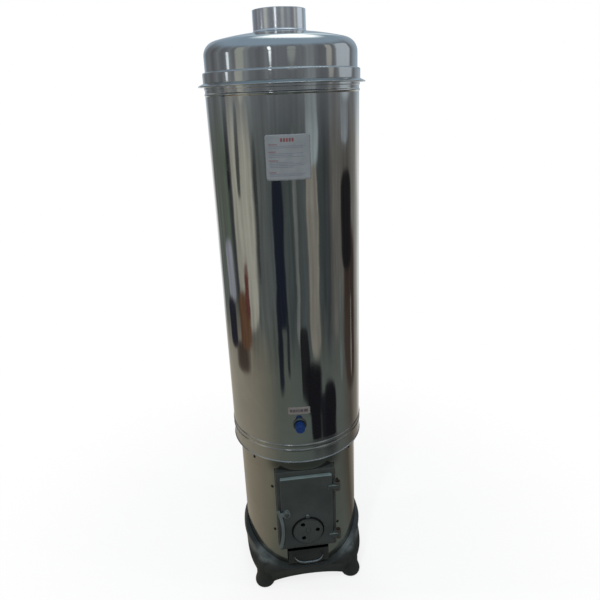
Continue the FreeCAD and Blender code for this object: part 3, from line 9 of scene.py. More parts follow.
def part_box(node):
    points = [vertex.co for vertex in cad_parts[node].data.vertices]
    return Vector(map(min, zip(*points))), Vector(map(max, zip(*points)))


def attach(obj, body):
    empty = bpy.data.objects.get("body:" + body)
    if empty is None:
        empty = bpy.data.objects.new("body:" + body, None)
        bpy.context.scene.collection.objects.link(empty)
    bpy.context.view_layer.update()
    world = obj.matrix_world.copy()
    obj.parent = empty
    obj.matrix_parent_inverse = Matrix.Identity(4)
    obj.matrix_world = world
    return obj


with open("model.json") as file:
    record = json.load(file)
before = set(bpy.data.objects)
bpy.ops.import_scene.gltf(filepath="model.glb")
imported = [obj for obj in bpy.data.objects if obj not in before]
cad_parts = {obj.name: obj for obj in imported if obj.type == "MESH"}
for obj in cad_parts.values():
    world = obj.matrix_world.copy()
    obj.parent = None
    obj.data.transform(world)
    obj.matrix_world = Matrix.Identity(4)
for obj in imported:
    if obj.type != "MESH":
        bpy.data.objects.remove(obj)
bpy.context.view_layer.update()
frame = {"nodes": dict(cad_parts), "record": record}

scene = bpy.context.scene
scene.view_settings.view_transform = "Standard"

# The boiler's frame: metres, +Z up, the fire door faces -Y. Angles are degrees from the front towards +X.
JACKET_RADIUS = 0.190
DRAIN_ANGLE = -3.4

# Places that the materials need, read from the frame.
jacket_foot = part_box("outer_jacket")[0][2]
frame_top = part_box("door_frame")[1][2]
door_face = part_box("fire_door")[0][1]
hinge_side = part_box("hinge_pins")[0][0]
rosette_height = sum(corner[2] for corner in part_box("rosette_rivet")) / 2


class Graph:
    """A material and its node tree, built by short calls."""

    def __init__(self, name):
        self.material = bpy.data.materials.new(name)
        self.material.use_nodes = True
        self.tree = self.material.node_tree
        self.shader = self.tree.nodes["Principled BSDF"]

    def add(self, kind, inputs=None, **settings):
        node = self.tree.nodes.new("ShaderNode" + kind)
        for key, value in settings.items():
            setattr(node, key, value)
        for key, value in (inputs or {}).items():
            self.feed(node, key, value)
        return node

    def feed(self, node, key, value):
        socket = node.inputs[key]
        if isinstance(value, bpy.types.NodeSocket):
            self.tree.links.new(value, socket)
        else:
            socket.default_value = value

    def where(self, scale=(1, 1, 1)):
        """The place on the object at rest, in metres, scaled."""
        coordinates = self.add("TexCoord")
        mapping = self.add("Mapping", {"Vector": coordinates.outputs["Object"], "Scale": scale})
        return mapping.outputs["Vector"]

    def spot(self):
        """The place on the object at rest, as outputs named X, Y and Z."""
        return self.add("SeparateXYZ", {"Vector": self.where()}).outputs

    def sheet(self):
        """The two UV coordinates, across and along."""
        split = self.add("SeparateXYZ", {"Vector": self.add("TexCoord").outputs["UV"]})
        return split.outputs["X"], split.outputs["Y"]

    def noise(self, place, scale, detail, roughness, distortion=0):
        node = self.add("TexNoise", {"Vector": place, "Scale": scale, "Detail": detail,
                                     "Roughness": roughness, "Distortion": distortion})
        return node.outputs["Fac"]

    def ramp(self, value, stops):
        """A colour ramp; each stop is a place and a grey level or a colour."""
        node = self.add("ValToRGB", {"Fac": value})
        elements = node.color_ramp.elements
        while len(elements) < len(stops):
            elements.new(0.5)
        for element, (place, colour) in zip(elements, stops):
            if not isinstance(colour, tuple):
                colour = (colour, colour, colour)
            element.position = place
            element.color = (*colour, 1)
        return node.outputs["Color"]

    def mix(self, factor, first, second):
        node = self.add("Mix", data_type="RGBA")
        self.feed(node, 0, factor)
        for index, colour in ((6, first), (7, second)):
            if isinstance(colour, tuple):
                colour = (*colour, 1)
            self.feed(node, index, colour)
        return node.outputs[2]

    def two_shades(self, value, start, end, first, second):
        """The first colour where the value is at start or lower, and the second from end on."""
        return self.mix(self.ramp(value, [(start, 0.0), (end, 1.0)]), first, second)

    def math(self, operation, first, second=0.0):
        node = self.add("Math", operation=operation)
        self.feed(node, 0, first)
        self.feed(node, 1, second)
        return node.outputs[0]

    def times(self, first, *others):
        for other in others:
            first = self.math("MULTIPLY", first, other)
        return first

    def step(self, value, start, end):
        """0 at start and 1 at end, smooth between them."""
        node = self.add("MapRange", {"Value": value, "From Min": start, "From Max": end},
                        interpolation_type="SMOOTHSTEP")
        return node.outputs[0]

    def above(self, value, edge, blur):
        """1 where the value is above the edge and 0 below it, smooth within blur of it."""
        return self.step(value, edge - blur, edge + blur)

    def below(self, value, edge, blur):
        """1 where the value is below the edge and 0 above it, smooth within blur of it."""
        return self.step(value, edge + blur, edge - blur)

    def length(self, vector):
        return self.add("VectorMath", {0: vector}, operation="LENGTH").outputs["Value"]

    def bump(self, height, strength, distance, normal=None):
        inputs = {"Height": height, "Strength": strength, "Distance": distance}
        if normal is not None:
            inputs["Normal"] = normal
        return self.add("Bump", inputs).outputs["Normal"]

    def set(self, **inputs):
        """Feeds the usual shader, and gives the material."""
        for key, value in inputs.items():
            self.feed(self.shader, key.replace("_", " "), value)
        return self.material

    def finish(self, shader):
        """Puts another shader in the usual one's place, and gives the material."""
        self.tree.links.new(shader.outputs[0], self.tree.nodes["Material Output"].inputs["Surface"])
        return self.material


def shaded(colour, share):
    return tuple(part * share for part in colour)


def painted_hem_shade(graph, spot, colour):
    """Painted shade: the steel above the fire door, under the jacket's hem, darkened as if in its shade."""
    over_frame = graph.above(spot["Z"], frame_top - 0.004, 0.020)
    near_middle = graph.below(graph.math("ABSOLUTE", spot["X"]), 0.0975, 0.0225)
    in_front = graph.below(spot["Y"], -0.025, 0.025)
    shade_share = graph.times(over_frame, near_middle, in_front, 0.75)
    return graph.mix(shade_share, colour, (0.11, 0.115, 0.11))


def polished_steel(name, tint, levels=(0.05, 0.085, 0.16), wave=1.0, marks=None):
    """Mirror-polished stainless sheet: slight waves, faint polishing lines and smudges.

    levels are how rough it is where it is clean, touched and smudged. Everything lower than the top of the
    beads near the jacket's foot is duller. marks adds marks of its own, or painted light, to the colour.
    """
    graph = Graph(name)
    spot = graph.spot()
    wide = graph.noise(graph.where((1, 1, 0.35)), 7, 2, 0.45)
    small = graph.noise(graph.where((1, 1, 0.5)), 26, 2, 0.5)
    lines = graph.noise(graph.where((6, 6, 900)), 1.0, 2, 0.6)
    smudge = graph.noise(graph.where(), 9, 6, 0.62, 0.6)
    level = graph.ramp(smudge, list(zip((0.35, 0.62, 0.8), levels)))
    beads_top = jacket_foot + 0.069
    dulled = graph.times(graph.below(spot["Z"], beads_top, 0.004), 0.15)
    level = graph.math("ADD", level, dulled)
    colour = graph.two_shades(smudge, 0.3, 0.85, tint, shaded(tint, 0.86))
    if marks:
        colour = marks(graph, spot, colour)
    rounded = graph.add("Bevel", {"Radius": 0.0026}, samples=8).outputs["Normal"]
    normal = graph.bump(wide, 0.35 * wave, 0.004, rounded)
    normal = graph.bump(small, 0.12 * wave, 0.0012, normal)
    normal = graph.bump(lines, 0.02, 0.0004, normal)
    return graph.set(Metallic=1.0, Base_Color=colour, Roughness=level, Normal=normal)


def cast_paint(name, colour, worn, rough, grain, wear=1.0, upper_face_highlight=None, marks=None):
    """Heat-resistant paint on cast iron: sand grain, dull patches, worn edges, and a painted highlight on
    upper faces.

    rough, grain and wear say how dull, grainy and worn it is. marks adds marks of its own, or painted light,
    to the colour.
    """
    graph = Graph(name)
    place = graph.where()
    patch = graph.noise(place, 14, 5, 0.6)
    sand = graph.noise(place, 700, 3, 0.6)
    uneven = graph.noise(place, 45, 3, 0.5)
    rounded = graph.add("Bevel", {"Radius": 0.0022}, samples=6).outputs["Normal"]
    flat = graph.add("NewGeometry").outputs["Normal"]
    facing = graph.add("VectorMath", {0: rounded, 1: flat}, operation="DOT_PRODUCT").outputs["Value"]
    edge = graph.ramp(facing, [(0.86, 1.0), (0.985, 0.0)])
    scuff = graph.ramp(graph.noise(place, 60, 4, 0.7), [(0.42, 0.25), (0.7, 1.0)])
    base = graph.two_shades(patch, 0.34, 0.68, shaded(colour, 0.72), colour)
    base = graph.mix(graph.times(edge, scuff, 0.75 * wear), base, worn)
    # Painted highlight: faces turned upward are paler, as if lit from above.
    if upper_face_highlight:
        upward = graph.add("SeparateXYZ", {"Vector": rounded}).outputs["Z"]
        lit_from_above = graph.times(graph.step(upward, 0.3, 0.85), graph.ramp(patch, [(0.3, 0.55), (0.6, 1.0)]))
        base = graph.mix(lit_from_above, base, upper_face_highlight)
    if marks:
        base = marks(graph, graph.spot(), base)
    level = graph.ramp(patch, [(0.3, rough - 0.06), (0.7, rough + 0.1)])
    normal = graph.bump(uneven, 0.25 * grain, 0.0022, rounded)
    normal = graph.bump(sand, 0.22 * grain, 0.00035, normal)
    return graph.set(Base_Color=base, Roughness=level, Normal=normal, Specular_IOR_Level=0.6)


def painted_knee_highlight(graph, spot, base):
    """A painted highlight: the knees of the base are a paler grey, as if light caught them."""
    knee_side, knee_low, knee_high = 0.100, 0.095, 0.120
    outside = graph.above(graph.math("ABSOLUTE", spot["X"]), knee_side, 0.015)
    under = graph.below(spot["Z"], knee_high, 0.008)
    over = graph.above(spot["Z"], knee_low, 0.007)
    patchy = graph.ramp(graph.noise(graph.where(), 30, 4, 0.6), [(0.3, 0.3), (0.6, 1.0)])
    return graph.mix(graph.times(outside, under, over, patchy), base, (0.090, 0.108, 0.108))


def hinge_rust(graph, spot, base):
    """Dark rust round the hinge eyes."""
    spots = graph.ramp(graph.noise(graph.where(), 90, 5, 0.65), [(0.38, 0.0), (0.6, 1.0)])
    near_hinge = graph.above(spot["X"], hinge_side - 0.003, 0.005)
    return graph.mix(graph.times(spots, near_hinge), base, (0.040, 0.024, 0.016))


def rosette_hole_shade(graph, spot, base):
    """A darker air rosette, with painted shade: near black in its holes and in the groove round it."""
    rosette_radius, holes_reach, groove_radius, groove_half = 0.044, 0.041, 0.0458, 0.0024
    hole_shade_colour = (0.004, 0.004, 0.004)
    up = graph.math("SUBTRACT", spot["Z"], rosette_height)
    reach = graph.length(graph.add("CombineXYZ", {"X": spot["X"], "Y": up}).outputs[0])
    base = graph.mix(graph.below(reach, rosette_radius, 0.0005), base, (0.034, 0.042, 0.040))
    deep = graph.above(spot["Y"], door_face - 0.00035, 0.0004)
    base = graph.mix(graph.times(deep, graph.below(reach, holes_reach, 0.001)), base, hole_shade_colour)
    off_groove = graph.math("ABSOLUTE", graph.math("SUBTRACT", reach, groove_radius))
    return graph.mix(graph.below(off_groove, groove_half, 0.001), base, hole_shade_colour)


def plain_metal(name, colour, rough, scale, bump=0.1, stretch=(1, 1, 1), metallic=1.0):
    """Plain steel with a slight grain, which stretch draws out along one direction."""
    graph = Graph(name)
    grain = graph.noise(graph.where(stretch), scale, 4, 0.6)
    patch = graph.noise(graph.where(), 12, 4, 0.6)
    base = graph.two_shades(patch, 0.3, 0.75, shaded(colour, 0.8), colour)
    level = graph.ramp(grain, [(0.25, rough - 0.07), (0.75, rough + 0.1)])
    normal = graph.bump(grain, bump, 0.0004)
    return graph.set(Metallic=metallic, Base_Color=base, Roughness=level, Normal=normal)


def sooty(name, colour, ash):
    """Metal that has seen fire: matt soot, with pale ash in patches."""
    graph = Graph(name)
    patch = graph.noise(graph.where(), 22, 6, 0.68, 0.4)
    fine = graph.noise(graph.where(), 320, 4, 0.6)
    base = graph.two_shades(patch, 0.5, 0.82, colour, ash)
    level = graph.ramp(patch, [(0.3, 0.62), (0.7, 0.92)])
    return graph.set(Metallic=0.2, Base_Color=base, Roughness=level, Normal=graph.bump(fine, 0.3, 0.0006))


def moulded_plastic(name, colour):
    """Glossy moulded plastic, slightly scuffed."""
    graph = Graph(name)
    patch = graph.noise(graph.where(), 130, 4, 0.6)
    fine = graph.noise(graph.where(), 900, 2, 0.5)
    base = graph.two_shades(patch, 0.35, 0.75, colour, shaded(colour, 1.25))
    level = graph.ramp(patch, [(0.3, 0.24), (0.8, 0.42)])
    return graph.set(Base_Color=base, Roughness=level, Normal=graph.bump(fine, 0.08, 0.0002),
                     Specular_IOR_Level=0.35)


def wool(name):
    """Mineral wool."""
    graph = Graph(name)
    fibre = graph.noise(graph.where((1, 1, 3)), 240, 6, 0.75, 1.5)
    base = graph.two_shades(fibre, 0.3, 0.7, (0.30, 0.24, 0.12), (0.56, 0.48, 0.28))
    return graph.set(Base_Color=base, Roughness=0.95, Normal=graph.bump(fibre, 0.7, 0.002))


materials = {
    "polished_steel": polished_steel("polished_steel", (0.60, 0.62, 0.61)),
    "spigot_steel": polished_steel("spigot_steel", (0.90, 0.93, 0.95), (0.15, 0.185, 0.26), 0.8),
    # The casing's steel carries painted shade above the fire door.
    "casing_steel": polished_steel("casing_steel", (0.50, 0.51, 0.47), (0.0, 0.015, 0.09), 1.3,
                                   marks=painted_hem_shade),
    # The base's iron carries a painted highlight on its knees.
    "base_iron": cast_paint("base_iron", (0.017, 0.020, 0.018), (0.06, 0.07, 0.068), 0.42, 1.3, 0.6,
                            marks=painted_knee_highlight),
    "drawer_iron": cast_paint("drawer_iron", (0.019, 0.023, 0.021), (0.06, 0.07, 0.07), 0.42, 0.8, 0.6),
    # The door's iron carries a painted highlight on its upper faces.
    "door_iron": cast_paint("door_iron", (0.036, 0.044, 0.042), (0.16, 0.20, 0.20), 0.38, 0.7, 0.8,
                            upper_face_highlight=(0.15, 0.20, 0.20), marks=rosette_hole_shade),
    "frame_iron": cast_paint("frame_iron", (0.040, 0.047, 0.044), (0.17, 0.21, 0.20), 0.40, 0.8, 0.8,
                             marks=hinge_rust),
    "latch_paint": cast_paint("latch_paint", (0.085, 0.105, 0.103), (0.26, 0.30, 0.30), 0.36, 0.5),
    "spindle_iron": cast_paint("spindle_iron", (0.030, 0.036, 0.034), (0.10, 0.12, 0.12), 0.40, 0.6),
    "pin_steel": plain_metal("pin_steel", (0.045, 0.032, 0.026), 0.5, 220, 0.2, metallic=0.6),
    "screw_steel": plain_metal("screw_steel", (0.36, 0.36, 0.34), 0.38, 260, 0.15),
    "dark_screw": plain_metal("dark_screw", (0.10, 0.10, 0.09), 0.42, 260, 0.15),
    "bright_rod": plain_metal("bright_rod", (0.50, 0.54, 0.56), 0.27, 200, 0.08),
    "sheet_steel": plain_metal("sheet_steel", (0.20, 0.225, 0.21), 0.4, 40, stretch=(1, 20, 1)),
    "tank_steel": plain_metal("tank_steel", (0.42, 0.43, 0.44), 0.34, 30, stretch=(20, 20, 1)),
    "pipe_steel": plain_metal("pipe_steel", (0.46, 0.47, 0.48), 0.28, 200),
    "sooty_steel": sooty("sooty_steel", (0.020, 0.017, 0.015), (0.13, 0.115, 0.10)),
    "grate_iron": sooty("grate_iron", (0.025, 0.024, 0.023), (0.20, 0.185, 0.17)),
    "mineral_wool": wool("mineral_wool"),
    "blue_plastic": moulded_plastic("blue_plastic", (0.0022, 0.018, 0.090)),
}
# The nodes whose look isn't that of their material slot.
LOOKS = {
    "firebox_casing": "casing_steel",
    "flue_spigot": "spigot_steel",
    "door_frame": "frame_iron",
    "rosette_rivet": "door_iron",
    "latch_handle": "latch_paint",
    "latch_spindle": "spindle_iron",
    "ash_drawer_front": "drawer_iron",
    "ash_drawer_handle": "bright_rod",
    "frame_screws": "dark_screw",
    "casing_screws": "dark_screw",
    "drain_pipe": "sheet_steel",
    "drain_ring": "sheet_steel",
}
SHARP_ANGLE = math.radians(28)


def smooth(mesh):
    """Round surfaces shade smoothly; edges sharper than SHARP_ANGLE stay."""
    mesh.polygons.foreach_set("use_smooth", [True] * len(mesh.polygons))
    mesh.set_sharp_from_angle(angle=SHARP_ANGLE)


slots = {entry["node"]: entry["material_slot"] for entry in frame["record"]["subparts"]}
for node_name, node in frame["nodes"].items():
    node.data.materials.clear()
    node.data.materials.append(materials[LOOKS.get(node_name, slots[node_name])])
    smooth(node.data)


def woven_mesh(name, lines):
    """A mesh of quads between neighbouring lines of points. Each point is a place and its UV."""
    mesh = bpy.data.meshes.new(name)
    build = bmesh.new()
    uv_layer = build.loops.layers.uv.new("UVMap")
    rows = [[(build.verts.new(place), uv) for place, uv in line] for line in lines]
    for row, following in zip(rows, rows[1:]):
        for column in range(len(row) - 1):
            corners = (row[column], row[column + 1], following[column + 1], following[column])
            face = build.faces.new([vertex for vertex, _ in corners])
            for loop, (_, uv) in zip(face.loops, corners):
                loop[uv_layer].uv = uv
    build.to_mesh(mesh)
    build.free()
    return mesh


def label_paper(name, shades, marks):
    """Printed paper.

    marks are bars: left, right, bottom and top as shares of the label, a colour, and whether the bar is
    speckled.
    """
    graph = Graph(name)
    across, along = graph.sheet()
    cloud = graph.noise(graph.where(), 40, 4, 0.6)
    paper = graph.two_shades(cloud, 0.3, 0.8, *shades)
    speckle = graph.ramp(graph.noise(graph.where(), 900, 2, 0.6), [(0.40, 0.35), (0.60, 0.95)])
    for left, right, low, high, colour, speckled in marks:
        inside = graph.times(graph.math("GREATER_THAN", across, left), graph.math("LESS_THAN", across, right),
                             graph.math("GREATER_THAN", along, low), graph.math("LESS_THAN", along, high))
        if speckled:
            inside = graph.times(inside, speckle)
        paper = graph.mix(inside, paper, colour)
    fibre = graph.noise(graph.where(), 500, 3, 0.6)
    return graph.set(Base_Color=paper, Roughness=0.46, Normal=graph.bump(fibre, 0.06, 0.0002),
                     Specular_IOR_Level=0.4)


LABEL_THICKNESS = 0.00018
LABEL_GAP = 0.00012
LABEL_CORNER = 0.003


def curved_label(name, material, width, low, high):
    """A thin sheet that follows the jacket in line with the drain, with softly rounded corners."""
    outside = JACKET_RADIUS + LABEL_GAP + LABEL_THICKNESS
    columns, rows = 32, 24
    lines = []
    for row in range(rows + 1):
        z = low + (high - low) * row / rows
        from_edge = max(min(z - low, high - z), 0.0)
        into_corner = max(LABEL_CORNER - from_edge, 0.0)
        pinch = LABEL_CORNER - math.sqrt(LABEL_CORNER ** 2 - into_corner ** 2)
        reach = (width / 2 - pinch) / JACKET_RADIUS
        line = []
        for column in range(columns + 1):
            turn = math.radians(DRAIN_ANGLE) + reach * (2 * column / columns - 1)
            place = (outside * math.sin(turn), -outside * math.cos(turn), z)
            line.append((place, (column / columns, row / rows)))
        lines.append(line)
    mesh = woven_mesh(name, lines)
    mesh.materials.append(material)
    smooth(mesh)
    piece = bpy.data.objects.new(name, mesh)
    scene.collection.objects.link(piece)
    solid = piece.modifiers.new("thickness", "SOLIDIFY")
    solid.thickness = LABEL_THICKNESS
    solid.offset = -1
    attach(piece, "boiler")


def instruction_marks():
    """Five red bars in a row, and under them four blocks of dark bars, each with a short red one on top."""
    red, ink = (0.13, 0.045, 0.05), (0.085, 0.095, 0.115)
    marks = [(0.34 + bar * 0.062, 0.385 + bar * 0.062, 0.84, 0.92, red, False) for bar in range(5)]
    for block, (top, lines) in enumerate(((0.80, 2), (0.64, 3), (0.45, 4), (0.19, 2))):
        marks.append((0.07, 0.27 - 0.04 * (block % 2), top - 0.026, top, red, True))
        for line in range(lines):
            right = (0.88, 0.84, 0.62)[(line + block) % 3]
            below_top = top - line * 0.036
            marks.append((0.08, right, below_top - 0.058, below_top - 0.043, ink, True))
    return marks


def drain_marks():
    """One line of dark bars."""
    bars = ((0.08, 0.11), (0.22, 0.11), (0.36, 0.07), (0.46, 0.06), (0.55, 0.13), (0.71, 0.19))
    return [(left, left + width, 0.30, 0.70, (0.06, 0.05, 0.055), False) for left, width in bars]


instruction_paper = label_paper("instruction_paper", ((0.135, 0.150, 0.160), (0.170, 0.185, 0.195)),
                                instruction_marks())
drain_paper = label_paper("drain_paper", ((0.13, 0.118, 0.11), (0.17, 0.158, 0.15)), drain_marks())
curved_label("instruction_label", instruction_paper, 0.103, 1.249, 1.350)
curved_label("drain_label", drain_paper, 0.059, 0.630, 0.652)


def photograph_camera():
    """The camera that the photograph was taken with, solved from its circles and edges."""
    focal_pixels, picture_pixels = 550.15, 600.0
    distance, height, turn = 1.4617, 1.4332, math.radians(5.4)
    pitch, roll, yaw = math.radians(20.55), math.radians(-2.27), math.radians(0.92)
    forward = Vector((math.sin(yaw) * math.cos(pitch), math.cos(yaw) * math.cos(pitch), -math.sin(pitch)))
    right = Vector((math.cos(yaw), -math.sin(yaw), 0))
    up = right.cross(forward)
    rolled_right = math.cos(roll) * right + math.sin(roll) * up
    rolled_up = -math.sin(roll) * right + math.cos(roll) * up
    axes = Matrix((rolled_right, rolled_up, -forward)).transposed().to_4x4()
    data = bpy.data.cameras.new("camera")
    data.sensor_width = 36
    data.lens = focal_pixels / picture_pixels * data.sensor_width
    data.clip_start = 0.01
    camera = bpy.data.objects.new("camera", data)
    place = Matrix.Translation(Vector((0, -distance, height))) @ axes
    camera.matrix_world = Matrix.Rotation(-turn, 4, "Z") @ place
    scene.collection.objects.link(camera)
    scene.camera = camera


photograph_camera()


def stage_object(mesh, material):
    """A thing round the boiler that isn't part of it."""
    item = bpy.data.objects.new(mesh.name, mesh)
    scene.collection.objects.link(item)
    mesh.materials.append(material)
    return item


def pale_floor():
    """A pale floor that keeps the boiler's shadow and ends in plain white further out."""
    half = 14
    corners = [(-half, -half, 0), (half, -half, 0), (half, half, 0), (-half, half, 0)]
    mesh = bpy.data.meshes.new("floor")
    mesh.from_pydata(corners, [], [(0, 1, 2, 3)])
    graph = Graph("floor")
    paint = graph.add("BsdfDiffuse", {"Color": (0.92, 0.92, 0.92, 1)})
    white = graph.add("Emission", {"Color": (1, 1, 1, 1), "Strength": 1.0})
    path = graph.add("LightPath")
    seen = graph.math("MAXIMUM", path.outputs["Is Camera Ray"], path.outputs["Is Glossy Ray"])
    seen = graph.math("MAXIMUM", seen, path.outputs["Is Transmission Ray"])
    shadow_reach, white_from = 0.35, 1.3
    whiteness = graph.add("MapRange", {"Value": graph.length(graph.where()), "From Min": shadow_reach,
                                       "From Max": white_from, "To Min": 0.80, "To Max": 1.0},
                          interpolation_type="SMOOTHSTEP").outputs[0]
    blend = graph.add("MixShader", {"Fac": graph.times(seen, whiteness), 1: paint.outputs[0],
                                    2: white.outputs[0]})
    stage_object(mesh, graph.finish(blend))


# A dim workshop around the boiler, which shows only in its polished steel. Places in the room are an
# angle, and a way in metres that runs out along the floor below zero and up the wall above it, and on
# over the ceiling to its middle.
ROOM_RADIUS, ROOM_HEIGHT = 2.5, 3.0
DARK_WALL, GREY_WALL, PALE_WALL = (0.075, 0.09, 0.092), (0.15, 0.165, 0.155), (0.52, 0.50, 0.43)
WALLS = [
    (-180, (1.0, 1.0, 1.0)), (-158, (0.9, 0.9, 0.9)), (-146, GREY_WALL), (-112, (0.15, 0.17, 0.14)),
    (-98, (0.06, 0.065, 0.07)), (-60, GREY_WALL), (-40, (0.14, 0.155, 0.155)), (0, DARK_WALL),
    (24, (0.12, 0.135, 0.135)), (50, (0.065, 0.075, 0.08)), (58, (0.07, 0.075, 0.08)),
    (68, (0.20, 0.19, 0.175)), (100, (0.13, 0.12, 0.11)), (122, (0.30, 0.28, 0.26)),
    (140, (0.9, 0.9, 0.88)), (180, (1.0, 1.0, 1.0)),
]
FLOORS = [
    (-180, (0.9, 0.88, 0.85)), (-150, (0.40, 0.36, 0.30)), (-95, (0.32, 0.28, 0.225)),
    (-58, (0.22, 0.205, 0.165)), (-35, (0.13, 0.14, 0.12)), (10, (0.11, 0.13, 0.12)),
    (75, (0.13, 0.14, 0.13)), (100, (0.10, 0.085, 0.07)), (125, (0.30, 0.27, 0.23)),
    (150, (0.9, 0.88, 0.85)), (180, (0.9, 0.88, 0.85)),
]
# Each panel: its middle angle, half its width, its lowest and highest way, its colour and how soft it is.
PANELS = [
    (-101, 5, 0.85, 1.35, (0.03, 0.03, 0.035), 0.4),
    (-107, 4, 0.2, 1.5, (0.15, 0.185, 0.145), 0.5),
    (-75, 18, -0.35, 2.2, PALE_WALL, 0.3),
    (-79, 3, 0.8, 1.4, (0.09, 0.095, 0.09), 0.5),
    (-114, 9, 0.0, 0.50, (0.40, 0.40, 0.46), 0.6),
    (-98, 15, -0.98, -0.55, (0.08, 0.06, 0.05), 0.8),
    (-88, 12, -0.65, 0.10, (0.16, 0.085, 0.05), 0.5),
    (-79, 4, -0.20, 0.35, (0.15, 0.05, 0.045), 0.6),
    (-120, 10, -0.70, 0.02, (0.028, 0.028, 0.042), 0.5),
    (-52, 2.5, 0.2, 1.2, (0.07, 0.075, 0.075), 0.6),
    (-20, 8, -0.30, 1.05, (0.018, 0.022, 0.035), 0.4),
    (-27, 4, -1.15, 0.1, (0.020, 0.024, 0.034), 0.6),
    (-14, 2.2, -0.95, -0.1, (0.030, 0.035, 0.040), 0.6),
    (6, 3.2, -0.55, 1.2, (0.22, 0.23, 0.22), 0.7),
    (31, 8, -0.75, 1.25, (0.31, 0.29, 0.25), 0.35),
    (33, 10, 1.0, 1.75, (0.42, 0.48, 0.50), 0.4),
    (13, 6, -1.22, -0.28, (0.020, 0.020, 0.022), 0.5),
    (25, 13, -1.35, -0.80, (0.012, 0.012, 0.015), 0.4),
    (44, 9, -1.66, -1.15, (0.016, 0.016, 0.020), 0.4),
    (26, 9, -1.62, -1.0, (0.012, 0.012, 0.015), 0.4),
    (52, 10, -1.69, -1.05, (0.012, 0.012, 0.015), 0.4),
    # Painted shadow: the room's floor close round the boiler is darker, as if in its shadow.
    (2, 26, -2.25, -1.82, (0.050, 0.055, 0.052), 0.5),
    (78, 3, -1.1, 0.2, (0.17, 0.20, 0.19), 0.7),
    (103, 15, -1.25, 0.6, (0.065, 0.048, 0.040), 0.5),
    (106, 1.6, -1.1, 0.0, (0.30, 0.26, 0.23), 0.8),
    (96, 13, 0.25, 0.95, (0.022, 0.02, 0.022), 0.3),
    (92, 9, 1.12, 1.55, (0.38, 0.42, 0.45), 0.3),
]
# The same on the upper walls and the ceiling: window light for the lid and every edge.
UPPER_PANELS = [
    (-65, 8, 1.4, 2.8, (0.42, 0.43, 0.40), 0.5),
    (9, 6, 1.6, 2.5, (0.34, 0.36, 0.36), 0.5),
    (96, 17, 1.4, 2.8, (0.55, 0.60, 0.66), 0.4),
    (66, 5, 1.5, 2.6, (0.45, 0.44, 0.42), 0.7),
    (-21, 2.0, 1.62, 2.6, (1.8, 1.9, 2.0), 0.9),
    (-86, 1.8, 1.5, 1.85, (1.2, 1.3, 1.4), 0.9),
]
# A window high behind the boiler; its angle is counted from its own middle.
BACK_WINDOW_ANGLE = 168
BACK_WINDOW = (0, 16, 2.6, 5.3, (0.85, 0.98, 1.06), 0.9)
# A round soft lamp in the ceiling, behind the boiler and to its right.
CEILING_LIGHT_PLACE = (0.24, 0.40, ROOM_HEIGHT)
CEILING_LIGHT_RADIUS = 0.85
CEILING_LIGHT_COLOUR = (2.7, 2.85, 2.9)


def by_angle(graph, turn, stops):
    """The colours of the stops, run into each other all round the room."""
    share = graph.math("DIVIDE", graph.math("ADD", turn, 180.0), 360.0)
    return graph.ramp(share, [((angle + 180) / 360, colour) for angle, colour in stops])


def room_noise(graph, turn, squeeze, way, detail, roughness):
    """Noise over the room, squeezed across."""
    place = graph.add("CombineXYZ", {"X": graph.times(turn, squeeze), "Y": way})
    return graph.noise(place.outputs[0], 1.0, detail, roughness)


def with_panels(graph, panels, turn, way, shade):
    """The shade with upright panels of other colours laid over it."""
    for middle, half, low, high, colour, soft in panels:
        across = graph.math("DIVIDE", graph.math("ABSOLUTE", graph.math("SUBTRACT", turn, middle)), half)
        along = graph.math("ABSOLUTE", graph.math("SUBTRACT", way, (low + high) / 2))
        along = graph.math("DIVIDE", along, (high - low) / 2)
        out = graph.math("ADD", graph.math("POWER", across, 2.5), graph.math("POWER", along, 6.0))
        shade = graph.mix(graph.below(out, 1, soft), shade, colour)
    return shade


def lower_room(graph, turn, way, waver):
    """Floor and walls up to head height, with their panels and dark streaks."""
    level = graph.math("ADD", way, graph.times(waver, 1.2))
    floor, wall = by_angle(graph, turn, FLOORS), by_angle(graph, turn, WALLS)
    shade = graph.mix(graph.step(level, -0.9, 0.0), floor, wall)
    shade = with_panels(graph, PANELS, turn, way, shade)
    streak = graph.ramp(room_noise(graph, turn, 0.22, way, 4, 0.6), [(0.35, 0.35), (0.65, 0.0)])
    return graph.mix(graph.times(streak, graph.step(way, -1.3, -0.3)), shade, (0.0, 0.0, 0.0))


def upper_room(graph, turn, way):
    """The upper walls and the ceiling, bluish behind the boiler, with their windows and the lamp."""
    column = room_noise(graph, turn, 0.045, 0.0, 3, 0.55)
    shade = graph.ramp(column, [(0.36, (0.14, 0.14, 0.155)), (0.5, (0.19, 0.20, 0.22)),
                                (0.66, (0.28, 0.30, 0.32))])
    behind = graph.math("MAXIMUM", graph.step(turn, -142, -158), graph.step(turn, 112, 140))
    shade = graph.mix(behind, shade, (0.36, 0.44, 0.52))
    shade = graph.mix(graph.step(way, 2.2, 4.0), shade, (0.33, 0.42, 0.52))
    shade = with_panels(graph, UPPER_PANELS, turn, way, shade)
    from_front = graph.math("ABSOLUTE", graph.math("ADD", turn, 180.0 - BACK_WINDOW_ANGLE))
    from_window = graph.math("SUBTRACT", 180.0, from_front)
    shade = with_panels(graph, [BACK_WINDOW], from_window, way, shade)
    from_lamp = graph.add("VectorMath", {0: graph.where(), 1: CEILING_LIGHT_PLACE}, operation="DISTANCE")
    lit = graph.step(from_lamp.outputs["Value"], CEILING_LIGHT_RADIUS, 0.1)
    return graph.mix(lit, shade, CEILING_LIGHT_COLOUR)


def room_material():
    """The workshop's colours, with wavering edges."""
    graph = Graph("room")
    turn, way = graph.sheet()
    waver = graph.math("SUBTRACT", room_noise(graph, turn, 0.05, way, 3, 0.5), 0.5)
    turn = graph.math("ADD", turn, graph.times(waver, 9.0))
    lower = lower_room(graph, turn, way, waver)
    upper = upper_room(graph, turn, way)
    shade = graph.mix(graph.step(way, 0.95, 1.7), lower, upper)
    return graph.finish(graph.add("Emission", {"Color": shade, "Strength": 1.0}))


